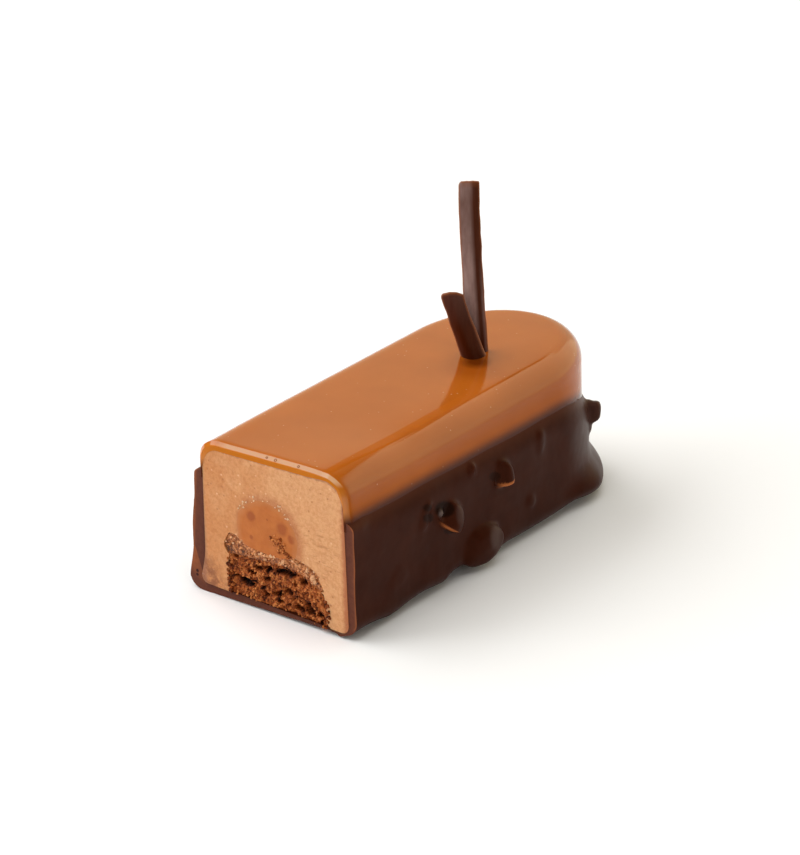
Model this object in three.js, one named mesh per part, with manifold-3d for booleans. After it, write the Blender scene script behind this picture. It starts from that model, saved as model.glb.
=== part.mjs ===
// A caramel finger cake with one end cut off, so that its layers show.
//
// A mousse bar with a rounded far end holds a rod of soft caramel that lies on a baked base: a crisp praline
// layer over a cocoa sponge. Caramel glaze covers the bar, and its lower part is dipped in dark chocolate with
// chopped nuts. Two chocolate strips stand in the top.
//
// Millimetres, +Z up. The cut face looks along -Y, and the rounded end is at +Y.
import * as THREE from "three";
import { mergeVertices } from "three/addons/utils/BufferGeometryUtils.js";
import Module from "manifold-3d";

const wasm = await Module();
wasm.setup();

// Driving dimensions
const BAR_LENGTH = 94; // from the cut face to the tip of the glazed end
const BAR_WIDTH = 39.4; // across the glaze
const BAR_HEIGHT = 35.6; // from the table to the top of the glaze
const END_DEPTH = 24; // length of the rounded end
const SHOULDER = 5.4; // radius of the top edge, measured on the glaze
const DRAFT = 0.5; // how much wider each side of the bar is at the bottom than at the top
const GLAZE_TOP = 1.5; // glaze thickness on the top
const GLAZE_SIDE = 1; // glaze thickness on the sides
const GLAZE_LIP = 1; // rounding of the glaze's cut edge
const DIP_HEIGHT = 26.8; // how far up the chocolate reaches on the right of the cut face
const DIP_CROSS = 1.8; // how much higher it reaches on the left
const DIP_FALL = 1; // how much lower it is where the rounded end begins
const DIP_END = 6.5; // how much lower still it is at the tip
const DIP_WAVE = 0.3; // how much the edge of the chocolate rises and falls
const GLAZE_TUCK = 3; // how far the glaze runs down under the chocolate
const COAT_SIDE = 2.3; // chocolate thickness on the sides
const COAT_EDGE = 1.7; // chocolate thickness at its upper edge
const COAT_TAPER = 4; // height over which the upper edge thins out
const COAT_LEFT = 0.9; // extra thickness on the left, where the chocolate ran together
const COAT_FLOOR = 1.5; // chocolate thickness under the middle of the bar
const FLOOR_TILT = 0.035; // the floor is thicker on the left than on the right by this slope
const FOOT_FLARE = 1.5; // how far the foot spreads on the left
const FOOT_HEIGHT = 10; // height of that foot
const COAT_ROUND = 3.4; // height of the rounding at the coat's lower edge
const COAT_UNDER = 4.2; // how far that rounding reaches in under the cake
const COAT_SCALLOP = 0.9; // how much the lower edge rises in places
const CORE_LENGTH = 76; // length of the caramel rod and of the baked base
const CARAMEL_RADIUS = 8;
const CARAMEL_CENTRE = new THREE.Vector2(-1.9, 17.4); // x and z in the cut face
const CRISP_THICKNESS = 2.5; // in the middle
const CRISP_RIM = 1.2; // extra thickness at its two rims
const SPONGE_HALF_WIDTH = 13.1;
const SPONGE_BOTTOM = 1.9; // height of the sponge's underside
const CRUMB_STEP = 1.3; // size of the crags in the cut face of the baked layers
const SPONGE_RELIEF = 0.7; // depth of the sponge's crags
const CRISP_RELIEF = 0.35; // depth of the crisp's crags
const STRIP_THICKNESS = 0.9;
const STRIP_BOW = 1; // how far a strip's middle stands out from its edges
const STRIP_FOOT = 2.6; // how deep the strips are pushed into the top
const GAP = 0.25; // clearance between neighbouring pieces

// Steps of the faceted surfaces
const SIDE_STEPS = 10;
const END_STEPS = 26;
const FRONT_STEPS = 8;
const SHOULDER_STEPS = 5;
const BEYOND = 4; // how far a cutting tool reaches past the face that it cuts

const lerp = THREE.MathUtils.lerp;
const smooth = THREE.MathUtils.smoothstep;

// A repeatable random number from 0 to 1.
function seededRandom(seed) {
  let state = seed;
  return () => {
    state = (state * 1664525 + 1013904223) % 4294967296;
    return state / 4294967296;
  };
}

// Closed solids

// Joins rings of equal count into a closed solid. Seen from where the last ring lies, each runs anticlockwise.
function loft(rings) {
  const count = rings[0].length;
  const points = rings.flat();
  const faces = [];
  for (let row = 0; row + 1 < rings.length; row++) {
    for (let i = 0; i < count; i++) {
      const a = row * count + i;
      const b = row * count + ((i + 1) % count);
      faces.push(a, b, b + count, a, b + count, a + count);
    }
  }
  for (const row of [0, rings.length - 1]) {
    const middle = points.length;
    const sum = rings[row].reduce((total, p) => total.add(p), new THREE.Vector3());
    points.push(sum.divideScalar(count));
    for (let i = 0; i < count; i++) {
      const a = row * count + i;
      const b = row * count + ((i + 1) % count);
      faces.push(...(row === 0 ? [middle, b, a] : [middle, a, b]));
    }
  }
  return new THREE.BufferGeometry().setFromPoints(points).setIndex(faces);
}

// A closed geometry as a solid that can be joined and cut.
function solidOf(geometry) {
  const bare = geometry.clone().deleteAttribute("normal").deleteAttribute("uv");
  const merged = mergeVertices(bare, 1e-4);
  return new wasm.Manifold(
    new wasm.Mesh({
      numProp: 3,
      vertProperties: new Float32Array(merged.attributes.position.array),
      triVerts: new Uint32Array(merged.index.array),
    }),
  );
}

// A named mesh of a solid.
function meshOf(name, solid, colour, roughness) {
  const made = solid.getMesh();
  const geometry = new THREE.BufferGeometry()
    .setAttribute("position", new THREE.BufferAttribute(made.vertProperties, 3))
    .setIndex(new THREE.BufferAttribute(made.triVerts, 1));
  geometry.computeVertexNormals();
  const material = new THREE.MeshStandardMaterial({ color: colour, roughness, metalness: 0 });
  const mesh = new THREE.Mesh(geometry, material);
  mesh.name = name;
  return mesh;
}

// The bar's outline seen from above

// Half the width of the mousse at height z: the mould's walls lean in a little towards the top.
const mousseHalfWidth = (z) => BAR_WIDTH / 2 - GLAZE_SIDE + DRAFT * (0.5 - z / BAR_HEIGHT);

// A point of the outline, with a share from 0 at the front right corner, round the end, to 1 at the front left.
function outlinePoint(share, halfWidth, tip, front) {
  const straight = tip - END_DEPTH;
  const steps = 2 * SIDE_STEPS + END_STEPS;
  const step = share * steps;
  if (step <= SIDE_STEPS) return new THREE.Vector2(halfWidth, lerp(front, straight, step / SIDE_STEPS));
  if (step >= SIDE_STEPS + END_STEPS) {
    return new THREE.Vector2(-halfWidth, lerp(front, straight, (steps - step) / SIDE_STEPS));
  }
  const angle = (Math.PI * (step - SIDE_STEPS)) / END_STEPS;
  return new THREE.Vector2(halfWidth * Math.cos(angle), straight + END_DEPTH * Math.sin(angle));
}

// One level ring of the bar, with its straight front edge. place(point, share) may move each point.
function barRing(z, halfWidth, tip, front, place = (point) => point) {
  const ring = [];
  const steps = 2 * SIDE_STEPS + END_STEPS;
  for (let i = 0; i <= steps; i++) {
    const at = outlinePoint(i / steps, halfWidth, tip, front);
    ring.push(place(new THREE.Vector3(at.x, at.y, z), i / steps));
  }
  for (let i = 1; i < FRONT_STEPS; i++) {
    const x = lerp(-halfWidth, halfWidth, i / FRONT_STEPS);
    ring.push(place(new THREE.Vector3(x, front, z), null));
  }
  return ring;
}

// The foot of the cake spreads on the left.
function flare(point) {
  const low = 1 - smooth(point.z, 0, FOOT_HEIGHT);
  const left = smooth(-point.x, 0, BAR_WIDTH / 2);
  return new THREE.Vector3(point.x - FOOT_FLARE * low * left, point.y, point.z);
}

// The layers above the floor spread with the foot and lie a little lower on the right.
function settle(point) {
  const tilt = FLOOR_TILT * point.x * (1 - smooth(point.z, 0, BAR_HEIGHT / 2));
  const spread = flare(point);
  return spread.setZ(spread.z - tilt);
}

// Height of the chocolate's upper edge over a point of the outline, before its small waves.
function dipHeight(point) {
  const straight = BAR_LENGTH - END_DEPTH;
  const left = smooth(-point.x, -BAR_WIDTH / 2, BAR_WIDTH / 2);
  const fall = DIP_FALL * smooth(point.y, 0, straight) + DIP_END * smooth(point.y, straight, BAR_LENGTH);
  return DIP_HEIGHT + DIP_CROSS * left - fall;
}

// The bar of mousse as mould and table shape it, grown on all sides by a margin.
function mousseBar(grow, front) {
  const radius = SHOULDER - GLAZE_SIDE + grow;
  const bottom = COAT_FLOOR + GAP - grow;
  const top = BAR_HEIGHT - GLAZE_TOP + grow;
  const tip = BAR_LENGTH - GLAZE_SIDE + grow;
  const rings = [];
  const level = (z, inset) => {
    rings.push(barRing(z, mousseHalfWidth(z) + grow - inset, tip - inset, front, settle));
  };
  level(bottom, 1.6);
  level(bottom + 0.5, 0.5);
  for (const z of [bottom + 1.6, 6, FOOT_HEIGHT, 18]) level(z, 0);
  for (let i = 0; i <= SHOULDER_STEPS; i++) {
    const angle = (Math.PI / 2) * (i / SHOULDER_STEPS);
    level(top - radius + radius * Math.sin(angle), radius * (1 - Math.cos(angle)));
  }
  return solidOf(loft(rings));
}

// The outside of the glaze, from under the chocolate's edge to the top, with a rounded cut edge at the front.
function glazeOutside(grow, front) {
  const radius = SHOULDER + grow;
  const top = BAR_HEIGHT + grow;
  const rings = [];
  const level = (z, inset, back, place) => {
    const halfWidth = mousseHalfWidth(z) + GLAZE_SIDE + grow - inset;
    rings.push(barRing(z, halfWidth, BAR_LENGTH + grow - inset, front + back, place));
  };
  level(DIP_HEIGHT, 0, 0, (point) => point.setZ(dipHeight(point) - GLAZE_TUCK - grow));
  for (let i = 0; i <= SHOULDER_STEPS; i++) {
    const angle = (Math.PI / 2) * (i / SHOULDER_STEPS);
    const z = top - radius + radius * Math.sin(angle);
    const lip = Math.max(0, z - (top - GLAZE_LIP)) / GLAZE_LIP;
    level(z, radius * (1 - Math.cos(angle)), GLAZE_LIP * (1 - Math.sqrt(1 - lip * lip)));
  }
  return solidOf(loft(rings));
}

// The chocolate coat

// Where the coat's outer wall stands at a share of the outline, a height and a depth below its upper edge.
function coatPoint(share, z, below, inset = 0) {
  const reach = lerp(COAT_EDGE, COAT_SIDE, smooth(below, 0, COAT_TAPER)) - inset;
  const at = outlinePoint(share, mousseHalfWidth(z) + reach, BAR_LENGTH - GLAZE_SIDE + reach, 0);
  const left = smooth(-at.x, 0, BAR_WIDTH / 2) * smooth(below, 0, BAR_HEIGHT / 2);
  return flare(new THREE.Vector3(at.x - COAT_LEFT * left, at.y, z));
}

// A point of the wall, and the direction in which the wall faces there.
function coatWall(share, z) {
  const at = (s) => coatPoint(s, z, DIP_HEIGHT - z);
  const along = at(share + 0.005).sub(at(share - 0.005));
  return { place: at(share), facing: new THREE.Vector3(along.y, -along.x, 0).normalize() };
}

// The outside of the coat before any nuts: flat below, with a rounded and scalloped lower edge.
function coatOutside() {
  const steps = 2 * SIDE_STEPS + END_STEPS;
  const ringOf = (at) => {
    const ring = [];
    for (let i = 0; i <= steps; i++) ring.push(at(i / steps));
    const corner = ring.at(-1).clone();
    for (let i = 1; i < FRONT_STEPS; i++) ring.push(corner.clone().lerp(ring[0], i / FRONT_STEPS));
    return ring;
  };
  const rings = [];
  const rounding = 4;
  for (let i = 0; i <= rounding; i++) {
    const angle = (Math.PI / 2) * (i / rounding);
    const inset = COAT_UNDER * (1 - Math.sin(angle));
    const z = COAT_ROUND * (1 - Math.cos(angle));
    rings.push(
      ringOf((share) => {
        const scallop = COAT_SCALLOP * Math.max(0, Math.sin(share * 57 - 0.4) + 0.3 * Math.sin(share * 131));
        return coatPoint(share, z + scallop * Math.sin(angle), BAR_HEIGHT, inset);
      }),
    );
  }
  for (const z of [7, FOOT_HEIGHT, 15]) rings.push(ringOf((share) => coatPoint(share, z, DIP_HEIGHT - z)));
  for (const below of [COAT_TAPER, COAT_TAPER / 2, COAT_TAPER / 6, 0]) {
    rings.push(
      ringOf((share) => {
        const point = coatPoint(share, DIP_HEIGHT, 0);
        const wave = DIP_WAVE * Math.sin(point.y * 0.31);
        return coatPoint(share, dipHeight(point) + wave - below, below);
      }),
    );
  }
  return solidOf(loft(rings));
}

// A chip of nut under the chocolate: a faceted lump, drawn out to a blunt tip that points along the wall.
// out is how far it stands from the wall, and turn is the tip's angle up from the direction away from the cut.
function nutChip({ share, z, length, width, out, turn, point }) {
  const { place, facing } = coatWall(share, z);
  const geometry = new THREE.IcosahedronGeometry(1, 1);
  const spots = geometry.attributes.position;
  for (let i = 0; i < spots.count; i++) {
    const x = spots.getX(i);
    const narrow = 1 - point * smooth(x, -0.2, 1.1);
    const lift = point * 0.5 * smooth(x, 0, 1);
    const height = spots.getZ(i) * (1 - 0.4 * point * smooth(x, 0, 1)) + lift;
    spots.setXYZ(i, (x * length) / 2, (spots.getY(i) * width * narrow) / 2, height * out);
  }
  const away = new THREE.Vector3(-facing.y, facing.x, 0);
  const up = new THREE.Vector3(0, 0, 1);
  const tip = away.clone().multiplyScalar(Math.cos(turn)).addScaledVector(up, Math.sin(turn));
  const frame = new THREE.Matrix4().makeBasis(tip, facing.clone().cross(tip), facing);
  geometry.applyMatrix4(frame.setPosition(place));
  return solidOf(geometry);
}

// The share of the outline that lies on the right side at a distance from the cut face, and on the rounded end.
const onRight = (y) => ((y / (BAR_LENGTH - END_DEPTH)) * SIDE_STEPS) / (2 * SIDE_STEPS + END_STEPS);
const onLeft = (y) => 1 - onRight(y);
const onEnd = (turned) => (SIDE_STEPS + (turned / Math.PI) * END_STEPS) / (2 * SIDE_STEPS + END_STEPS);

// Nuts that show on the right side and at the end, then some spread in the same way over the left.
function nutChips() {
  const random = seededRandom(11);
  const chips = [
    { share: onRight(30), z: 15.5, length: 9, width: 7, out: 2.7, turn: -0.8, point: 0.75 },
    { share: onRight(48), z: 17.5, length: 7, width: 5.5, out: 2.2, turn: -0.6, point: 0.7 },
    { share: onRight(43), z: 5.6, length: 9.5, width: 8, out: 1.8, turn: 0.9, point: 0.1 },
    { share: onRight(24), z: 20, length: 5, width: 3.6, out: 0.8, turn: 0.6, point: 0.2 },
    { share: onRight(59), z: 8.8, length: 3.6, width: 3, out: 0.8, turn: -0.9, point: 0.4 },
    { share: onEnd(0.74), z: 17.3, length: 7, width: 6, out: 2.6, turn: 1.4, point: 0.2 },
    { share: onEnd(0.6), z: 5.5, length: 9, width: 12, out: 2, turn: 1.4, point: 0.1 },
  ];
  const spots = [onEnd(1.4), onEnd(2), onEnd(2.6), onLeft(58), onLeft(44), onLeft(30), onLeft(15)];
  for (const [i, share] of spots.entries()) {
    const length = lerp(5, 9, random());
    chips.push({
      share,
      z: i % 2 === 0 ? lerp(13, 20, random()) : lerp(6, 10, random()),
      length,
      width: length * lerp(0.65, 0.85, random()),
      out: lerp(1.4, 2.4, random()),
      turn: lerp(-1.2, 1.2, random()),
      point: lerp(0.1, 0.7, random()),
    });
  }
  return chips.map(nutChip);
}

// Layers that run through the bar, as outlines in the cut face

// The middle line of the praline crisp: its left rim stands up, and its right rim hangs over the sponge.
const CRISP_LINE = new THREE.SplineCurve([
  new THREE.Vector2(-12.4, 12.6),
  new THREE.Vector2(-9.5, 13.3),
  new THREE.Vector2(-4, 12.7),
  new THREE.Vector2(3.5, 13.3),
  new THREE.Vector2(8.5, 12.6),
  new THREE.Vector2(11, 10.8),
]);
const CRISP_STEPS = 14;

// Points at a distance above, or below, the crisp's middle line, from left to right.
function besideCrisp(distance) {
  const points = [];
  for (let i = 0; i <= CRISP_STEPS; i++) {
    const share = i / CRISP_STEPS;
    const along = CRISP_LINE.getTangent(share);
    const rim = CRISP_RIM * Math.abs(2 * share - 1) ** 3;
    const away = distance + (Math.sign(distance) * (CRISP_THICKNESS + rim)) / 2;
    points.push(CRISP_LINE.getPoint(share).addScaledVector(new THREE.Vector2(-along.y, along.x), away));
  }
  return points;
}

// An outline moved outwards by a margin. It runs anticlockwise as the cut face is seen.
function grown(outline, margin) {
  return outline.map((point, i) => {
    const before = outline.at(i - 1);
    const after = outline[(i + 1) % outline.length];
    const along = after.clone().sub(before).normalize();
    return point.clone().addScaledVector(new THREE.Vector2(along.y, -along.x), margin);
  });
}

// The band between two distances from the crisp's middle line, with round rims.
function crispOutline() {
  const upper = besideCrisp(0.001).reverse();
  const lower = besideCrisp(-0.001);
  const rim = (from, to) => {
    const middle = from.clone().lerp(to, 0.5);
    const arm = from.clone().sub(middle);
    return [1, 2, 3].map((i) => middle.clone().add(arm.clone().rotateAround(new THREE.Vector2(), (Math.PI * i) / 4)));
  };
  return [...upper, ...rim(upper.at(-1), lower[0]), ...lower, ...rim(lower.at(-1), upper[0])];
}

// The sponge under the crisp, a block that bulges a little towards its foot.
function spongeOutline() {
  const side = SPONGE_HALF_WIDTH;
  const curve = new THREE.SplineCurve([
    new THREE.Vector2(-side, 9.6),
    new THREE.Vector2(-side + 0.5, 6),
    new THREE.Vector2(-side + 0.7, SPONGE_BOTTOM + 1),
    new THREE.Vector2(-side + 1.8, SPONGE_BOTTOM),
    new THREE.Vector2(0, SPONGE_BOTTOM),
    new THREE.Vector2(side - 1.2, SPONGE_BOTTOM),
    new THREE.Vector2(side, SPONGE_BOTTOM + 1.4),
    new THREE.Vector2(side + 0.3, 5),
    new THREE.Vector2(side - 1.2, 7.6),
  ]);
  const under = besideCrisp(-GAP - 0.001).reverse();
  return [...curve.getPoints(28), ...under.slice(1, -1)];
}

// The caramel rod, flattened where it lies on the crisp.
function caramelOutline() {
  const bed = besideCrisp(GAP + 0.001).filter((p) => p.distanceTo(CARAMEL_CENTRE) < CARAMEL_RADIUS - 0.2);
  const angleOf = (p) => p.clone().sub(CARAMEL_CENTRE).angle();
  const from = angleOf(bed.at(-1)) - 2 * Math.PI;
  const to = angleOf(bed[0]);
  const steps = 22;
  const round = [];
  for (let i = 0; i <= steps; i++) {
    const angle = lerp(from, to, i / steps);
    const reach = CARAMEL_RADIUS * (1 + 0.03 * Math.sin(3 * angle));
    const arm = new THREE.Vector2(Math.cos(angle), Math.sin(angle)).multiplyScalar(reach);
    round.push(arm.add(CARAMEL_CENTRE));
  }
  return [...round, ...bed];
}

// A layer from its hidden far end to the cut face, seen from there.
function layer(outline, front, far) {
  const ring = (y) => outline.map((p) => settle(new THREE.Vector3(p.x, 0, p.y)).setY(y));
  return solidOf(loft([ring(far), ring(front)]));
}

// A repeatable random number from -1 to 1 for a place in the cut face.
function roughness(x, z) {
  const wave = Math.sin(x * 12.9898 + z * 78.233) * 43758.5453;
  return 2 * (wave - Math.floor(wave)) - 1;
}

// A layer whose cut face is broken into crags of a given depth.
function craggyLayer(outline, relief) {
  const width = BAR_WIDTH;
  const height = BAR_HEIGHT / 2;
  const block = new THREE.BoxGeometry(
    width, CORE_LENGTH + BEYOND, height, Math.round(width / CRUMB_STEP), 1, Math.round(height / CRUMB_STEP),
  );
  block.translate(0, (CORE_LENGTH + BEYOND) / 2, height / 2);
  const spots = block.attributes.position;
  for (let i = 0; i < spots.count; i++) {
    if (spots.getY(i) > 0) continue;
    const x = spots.getX(i);
    const z = spots.getZ(i);
    const sideways = 0.35 * CRUMB_STEP;
    spots.setXYZ(
      i, x + sideways * roughness(z, x), relief * (0.4 + roughness(x, z)), z + sideways * roughness(x + 1, z),
    );
  }
  return layer(outline, -BEYOND, CORE_LENGTH).intersect(solidOf(block));
}

// The strips that stand in the top

// A strip of tempered chocolate: bowed across its width, tilted, and bent a little along its length.
// foot is where its middle meets the top of the glaze, and lean is how far its upper end moves to the left.
function strip({ foot, width, height, lean, bend, facing, grow = 0 }) {
  const across = new THREE.Vector3(Math.cos(facing), Math.sin(facing), 0);
  const outward = new THREE.Vector3(Math.sin(facing), -Math.cos(facing), 0);
  const half = width / 2 + grow;
  const thick = STRIP_THICKNESS / 2 + grow;
  const columns = 6;
  const rows = 8;
  const rings = [];
  for (let row = 0; row <= rows; row++) {
    const rise = lerp(-STRIP_FOOT - grow, height + grow, row / rows);
    const share = rise / height;
    const side = -lean * share + bend * share * (share - 1);
    const middle = new THREE.Vector3(foot.x, foot.y, BAR_HEIGHT + rise).addScaledVector(across, side);
    const edge = (from, to, depth) => {
      const points = [];
      for (let i = 0; i <= columns; i++) {
        const over = lerp(from, to, i / columns);
        const bow = STRIP_BOW * (1 - (over / half) ** 2) + depth;
        points.push(middle.clone().addScaledVector(across, over).addScaledVector(outward, bow));
      }
      return points;
    };
    rings.push([...edge(-half, half, thick), ...edge(half, -half, -thick)]);
  }
  return solidOf(loft(rings));
}

const VIEW_TURN = THREE.MathUtils.degToRad(39); // the strips face this way round from the cut face
const TALL_STRIP = {
  foot: new THREE.Vector2(-0.3, 68.8),
  width: 4.1,
  height: 37.4,
  lean: 1.6,
  bend: 1,
  facing: VIEW_TURN,
};
const SHORT_STRIP = {
  foot: new THREE.Vector2(1.9, 64.2),
  width: 4.6,
  height: 14.3,
  lean: 4,
  bend: 0.4,
  facing: VIEW_TURN,
};

// Assembly

const spongeShape = spongeOutline();
const crispShape = crispOutline();
const caramelShape = caramelOutline();
const slot = wasm.Manifold.union([TALL_STRIP, SHORT_STRIP].map((shape) => strip({ ...shape, grow: GAP })));
const tunnel = wasm.Manifold.union(
  [spongeShape, crispShape, caramelShape].map((shape) => layer(grown(shape, GAP), -BEYOND, CORE_LENGTH + GAP)),
);
const mousse = mousseBar(0, 0).subtract(tunnel).subtract(slot);
const glaze = glazeOutside(0, 0).subtract(mousseBar(GAP, -BEYOND)).subtract(slot);
const coat = wasm.Manifold.union([coatOutside(), ...nutChips()])
  .subtract(mousseBar(GAP, -BEYOND))
  .subtract(glazeOutside(GAP, -BEYOND));

const cake = new THREE.Group();
cake.add(
  meshOf("mousse", mousse, 0xd6a073, 0.75),
  meshOf("caramel_glaze", glaze, 0xbe7341, 0.15),
  meshOf("chocolate_coat", coat, 0x3a211b, 0.4),
  meshOf("caramel_core", layer(caramelShape, 0, CORE_LENGTH), 0xc4723c, 0.4),
  meshOf("praline_crisp", craggyLayer(crispShape, CRISP_RELIEF), 0x8c5a41, 0.5),
  meshOf("cocoa_sponge", craggyLayer(spongeShape, SPONGE_RELIEF), 0x693719, 0.9),
  meshOf("chocolate_strip_tall", strip(TALL_STRIP), 0x4b2d26, 0.35),
  meshOf("chocolate_strip_short", strip(SHORT_STRIP), 0x4b2d26, 0.35),
);

// The origin is under the middle of the cake, on the surface that it stands on.
const box = new THREE.Box3().setFromObject(cake);
cake.position.set(-(box.min.x + box.max.x) / 2, -(box.min.y + box.max.y) / 2, -box.min.z);

export default cake;
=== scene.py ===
import math
import random

import bmesh
import bpy
from mathutils import Matrix, Vector, noise


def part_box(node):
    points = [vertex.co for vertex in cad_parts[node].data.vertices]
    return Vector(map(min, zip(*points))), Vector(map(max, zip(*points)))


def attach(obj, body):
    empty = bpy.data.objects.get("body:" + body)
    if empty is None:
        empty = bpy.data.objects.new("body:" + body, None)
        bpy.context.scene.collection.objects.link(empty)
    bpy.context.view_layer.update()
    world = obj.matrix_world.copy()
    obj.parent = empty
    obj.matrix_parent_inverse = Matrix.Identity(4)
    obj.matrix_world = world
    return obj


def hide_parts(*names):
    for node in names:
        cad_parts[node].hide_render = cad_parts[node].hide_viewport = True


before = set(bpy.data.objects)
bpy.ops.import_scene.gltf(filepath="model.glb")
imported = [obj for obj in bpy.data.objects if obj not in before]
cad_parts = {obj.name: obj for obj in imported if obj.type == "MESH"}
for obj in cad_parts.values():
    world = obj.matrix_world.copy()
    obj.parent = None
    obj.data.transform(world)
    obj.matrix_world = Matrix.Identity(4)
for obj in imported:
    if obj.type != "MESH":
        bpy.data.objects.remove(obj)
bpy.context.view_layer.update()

# Cocoa sponge: the baked base of the cake, a dark and open crumb, cut from a sheet.
# The knife has torn its cut face into crags, pores and loose crumbs, and has dragged a few crumbs
# up onto the soft caramel.
MM = 0.001
CUT_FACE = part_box("mousse")[0].y
MIDDLE = (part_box("caramel_glaze")[0].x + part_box("caramel_glaze")[1].x) / 2
LAYER_LENGTH = 76
SPONGE_WIDTH, SPONGE_HEIGHT = 26, 10
SPONGE_LEFT, SPONGE_RIGHT = -12.5, 12.8
SPONGE_FLOOR = 1.25
SPONGE_BELLY, LEFT_BELLY = 0.6, 0.4
FLOOR_SLOPE = 0.035
CRISP_UNDER = [(-13.6, 11.0), (-9, 11.4), (-3.3, 11.8), (2.5, 12.2), (6, 11.8), (9, 10.5)]
CRISP_UNDER += [(11.5, 9.2), (13.6, 8.2)]
CORNER_SHIFTS = (-0.8, -0.4, 0, 0.4, 0.8)
HOLE_SIZE = (2.5, 1.6)
HOLE_DEPTH = 2.6
SMALL_HOLE, LARGE_HOLE = 0.6, 0.62
VOIDS = [((-2.5, 9.9), (1.6, 0.7)), ((0.3, 10.0), (1.2, 0.7)), ((3.0, 10.3), (1.9, 0.9))]
VOIDS += [((7.1, 9.6), (0.9, 0.8)), ((-9.0, 5.3), (1.7, 0.8)), ((-7.0, 4.8), (1.1, 0.6))]
VOIDS += [((-5.1, 9.2), (0.9, 0.6)), ((2.8, 6.4), (1.1, 0.8)), ((0.2, 4.9), (0.9, 0.6))]
VOIDS += [((5.8, 3.2), (1.4, 0.6)), ((9.0, 3.5), (1.1, 0.7)), ((11.3, 3.4), (0.7, 0.7))]
HOLE_WANDER, HOLE_RIM, VOID_RIM = 0.5, (0.12, 0.5), (0.3, 1.25)
GRAIN_SIZE, FINE_SIZE, SWELL_SIZE = 0.62, 0.4, 3.2
FACE_BACK, GRAIN_RELIEF, SWELL_RELIEF, FINE_RELIEF = 0.55, 0.5, 0.45, 0.16
# The tones: the middle, each crumb's own, the raised grains, the holes darkened as painted shade, the swells
# and the fine grain.
MIDDLE_TONE, OWN_TONE, GRAIN_TONE, HOLE_SHADE, SWELL_TONE, FINE_TONE = 0.5, 0.22, 0.25, 0.75, 0.15, 0.12
LUMP_WIDTH, LUMP_HEIGHT = (0.6, 0.9), (0.5, 0.85)
FACE_CRUMBS, SIDE_CRUMBS = 260, 70
FACE_CRUMB_SIZE, SIDE_CRUMB_SIZE, DRAGGED_SIZE = (0.13, 0.38), (0.2, 0.48), (0.2, 0.42)
FACE_CRUMB_TONE, SIDE_CRUMB_TONE, DRAGGED_TONE = (-0.2, 0.4), (0.25, 0.75), (0.4, 0.95)
SIDE_CRUMB_SPREAD = 0.3
DRAGGED_AHEAD = 0.15
DRAGGED = [((0.8, 17.3), (1.2, 0.5), 38), ((1.9, 15.6), (0.7, 0.55), 24), ((3.7, 15.0), (0.6, 0.35), 10)]


def place(x, y, z):
    """A point of the cake: millimetres from the bar's middle, from its cut face and from the table."""
    return Vector((MIDDLE + x * MM, CUT_FACE + y * MM, z * MM))


def measured(co):
    """A point in the frame's metres as millimetres of the cake."""
    return (co.x - MIDDLE) / MM, (co.y - CUT_FACE) / MM, co.z / MM


def blend_in(value, low, high):
    """0 below low, 1 above high, and a smooth step between them."""
    share = min(1, max(0, (value - low) / (high - low)))
    return share * share * (3 - 2 * share)


def line_height(line, x):
    """The height at x of a line through some points, with its corners softened."""
    total = 0
    for shift in CORNER_SHIFTS:
        at = min(line[-1][0], max(line[0][0], x + shift))
        for (x0, z0), (x1, z1) in zip(line, line[1:]):
            if at <= x1:
                total += z0 + (z1 - z0) * (at - x0) / (x1 - x0)
                break
    return total / len(CORNER_SHIFTS)


def named(name):
    """The piece that was just added, under its own name, with its place in its mesh."""
    piece = bpy.context.object
    piece.name = piece.data.name = name
    bpy.ops.object.transform_apply(location=True, rotation=True, scale=True)
    return piece


def cut_slab(name, width, height, columns, rows, length):
    """A layer of the cake: a fine upright grid in the cut face, drawn back into the bar and closed."""
    bpy.ops.object.select_all(action="DESELECT")
    bpy.ops.mesh.primitive_grid_add(
        x_subdivisions=columns,
        y_subdivisions=rows,
        size=1,
        location=place(0, 0, 0),
        rotation=(math.pi / 2, 0, 0),
    )
    bpy.context.object.scale = (width * MM, height * MM, 1)
    piece = named(name)
    bpy.ops.object.mode_set(mode="EDIT")
    bpy.context.tool_settings.mesh_select_mode = (False, True, False)
    bpy.ops.mesh.select_all(action="DESELECT")
    bpy.ops.mesh.select_non_manifold()
    bpy.ops.mesh.extrude_region_move(TRANSFORM_OT_translate={"value": (0, length * MM, 0)})
    bpy.ops.mesh.edge_face_add()
    bpy.ops.mesh.select_all(action="SELECT")
    bpy.ops.mesh.normals_make_consistent(inside=False)
    bpy.ops.object.mode_set(mode="OBJECT")
    return piece


def shape(piece, moved):
    """Moves each vertex to where moved(x, y, z), in millimetres of the cake, puts it."""
    for vertex in piece.data.vertices:
        vertex.co = place(*moved(*measured(vertex.co)))
    piece.data.update()


def mark(piece, name, value_at):
    """Writes a value for each vertex, from its place in millimetres of the cake, for the finish to use."""
    layer = piece.data.attributes.new(name, "FLOAT", "POINT")
    layer.data.foreach_set("value", [value_at(*measured(vertex.co)) for vertex in piece.data.vertices])


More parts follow.
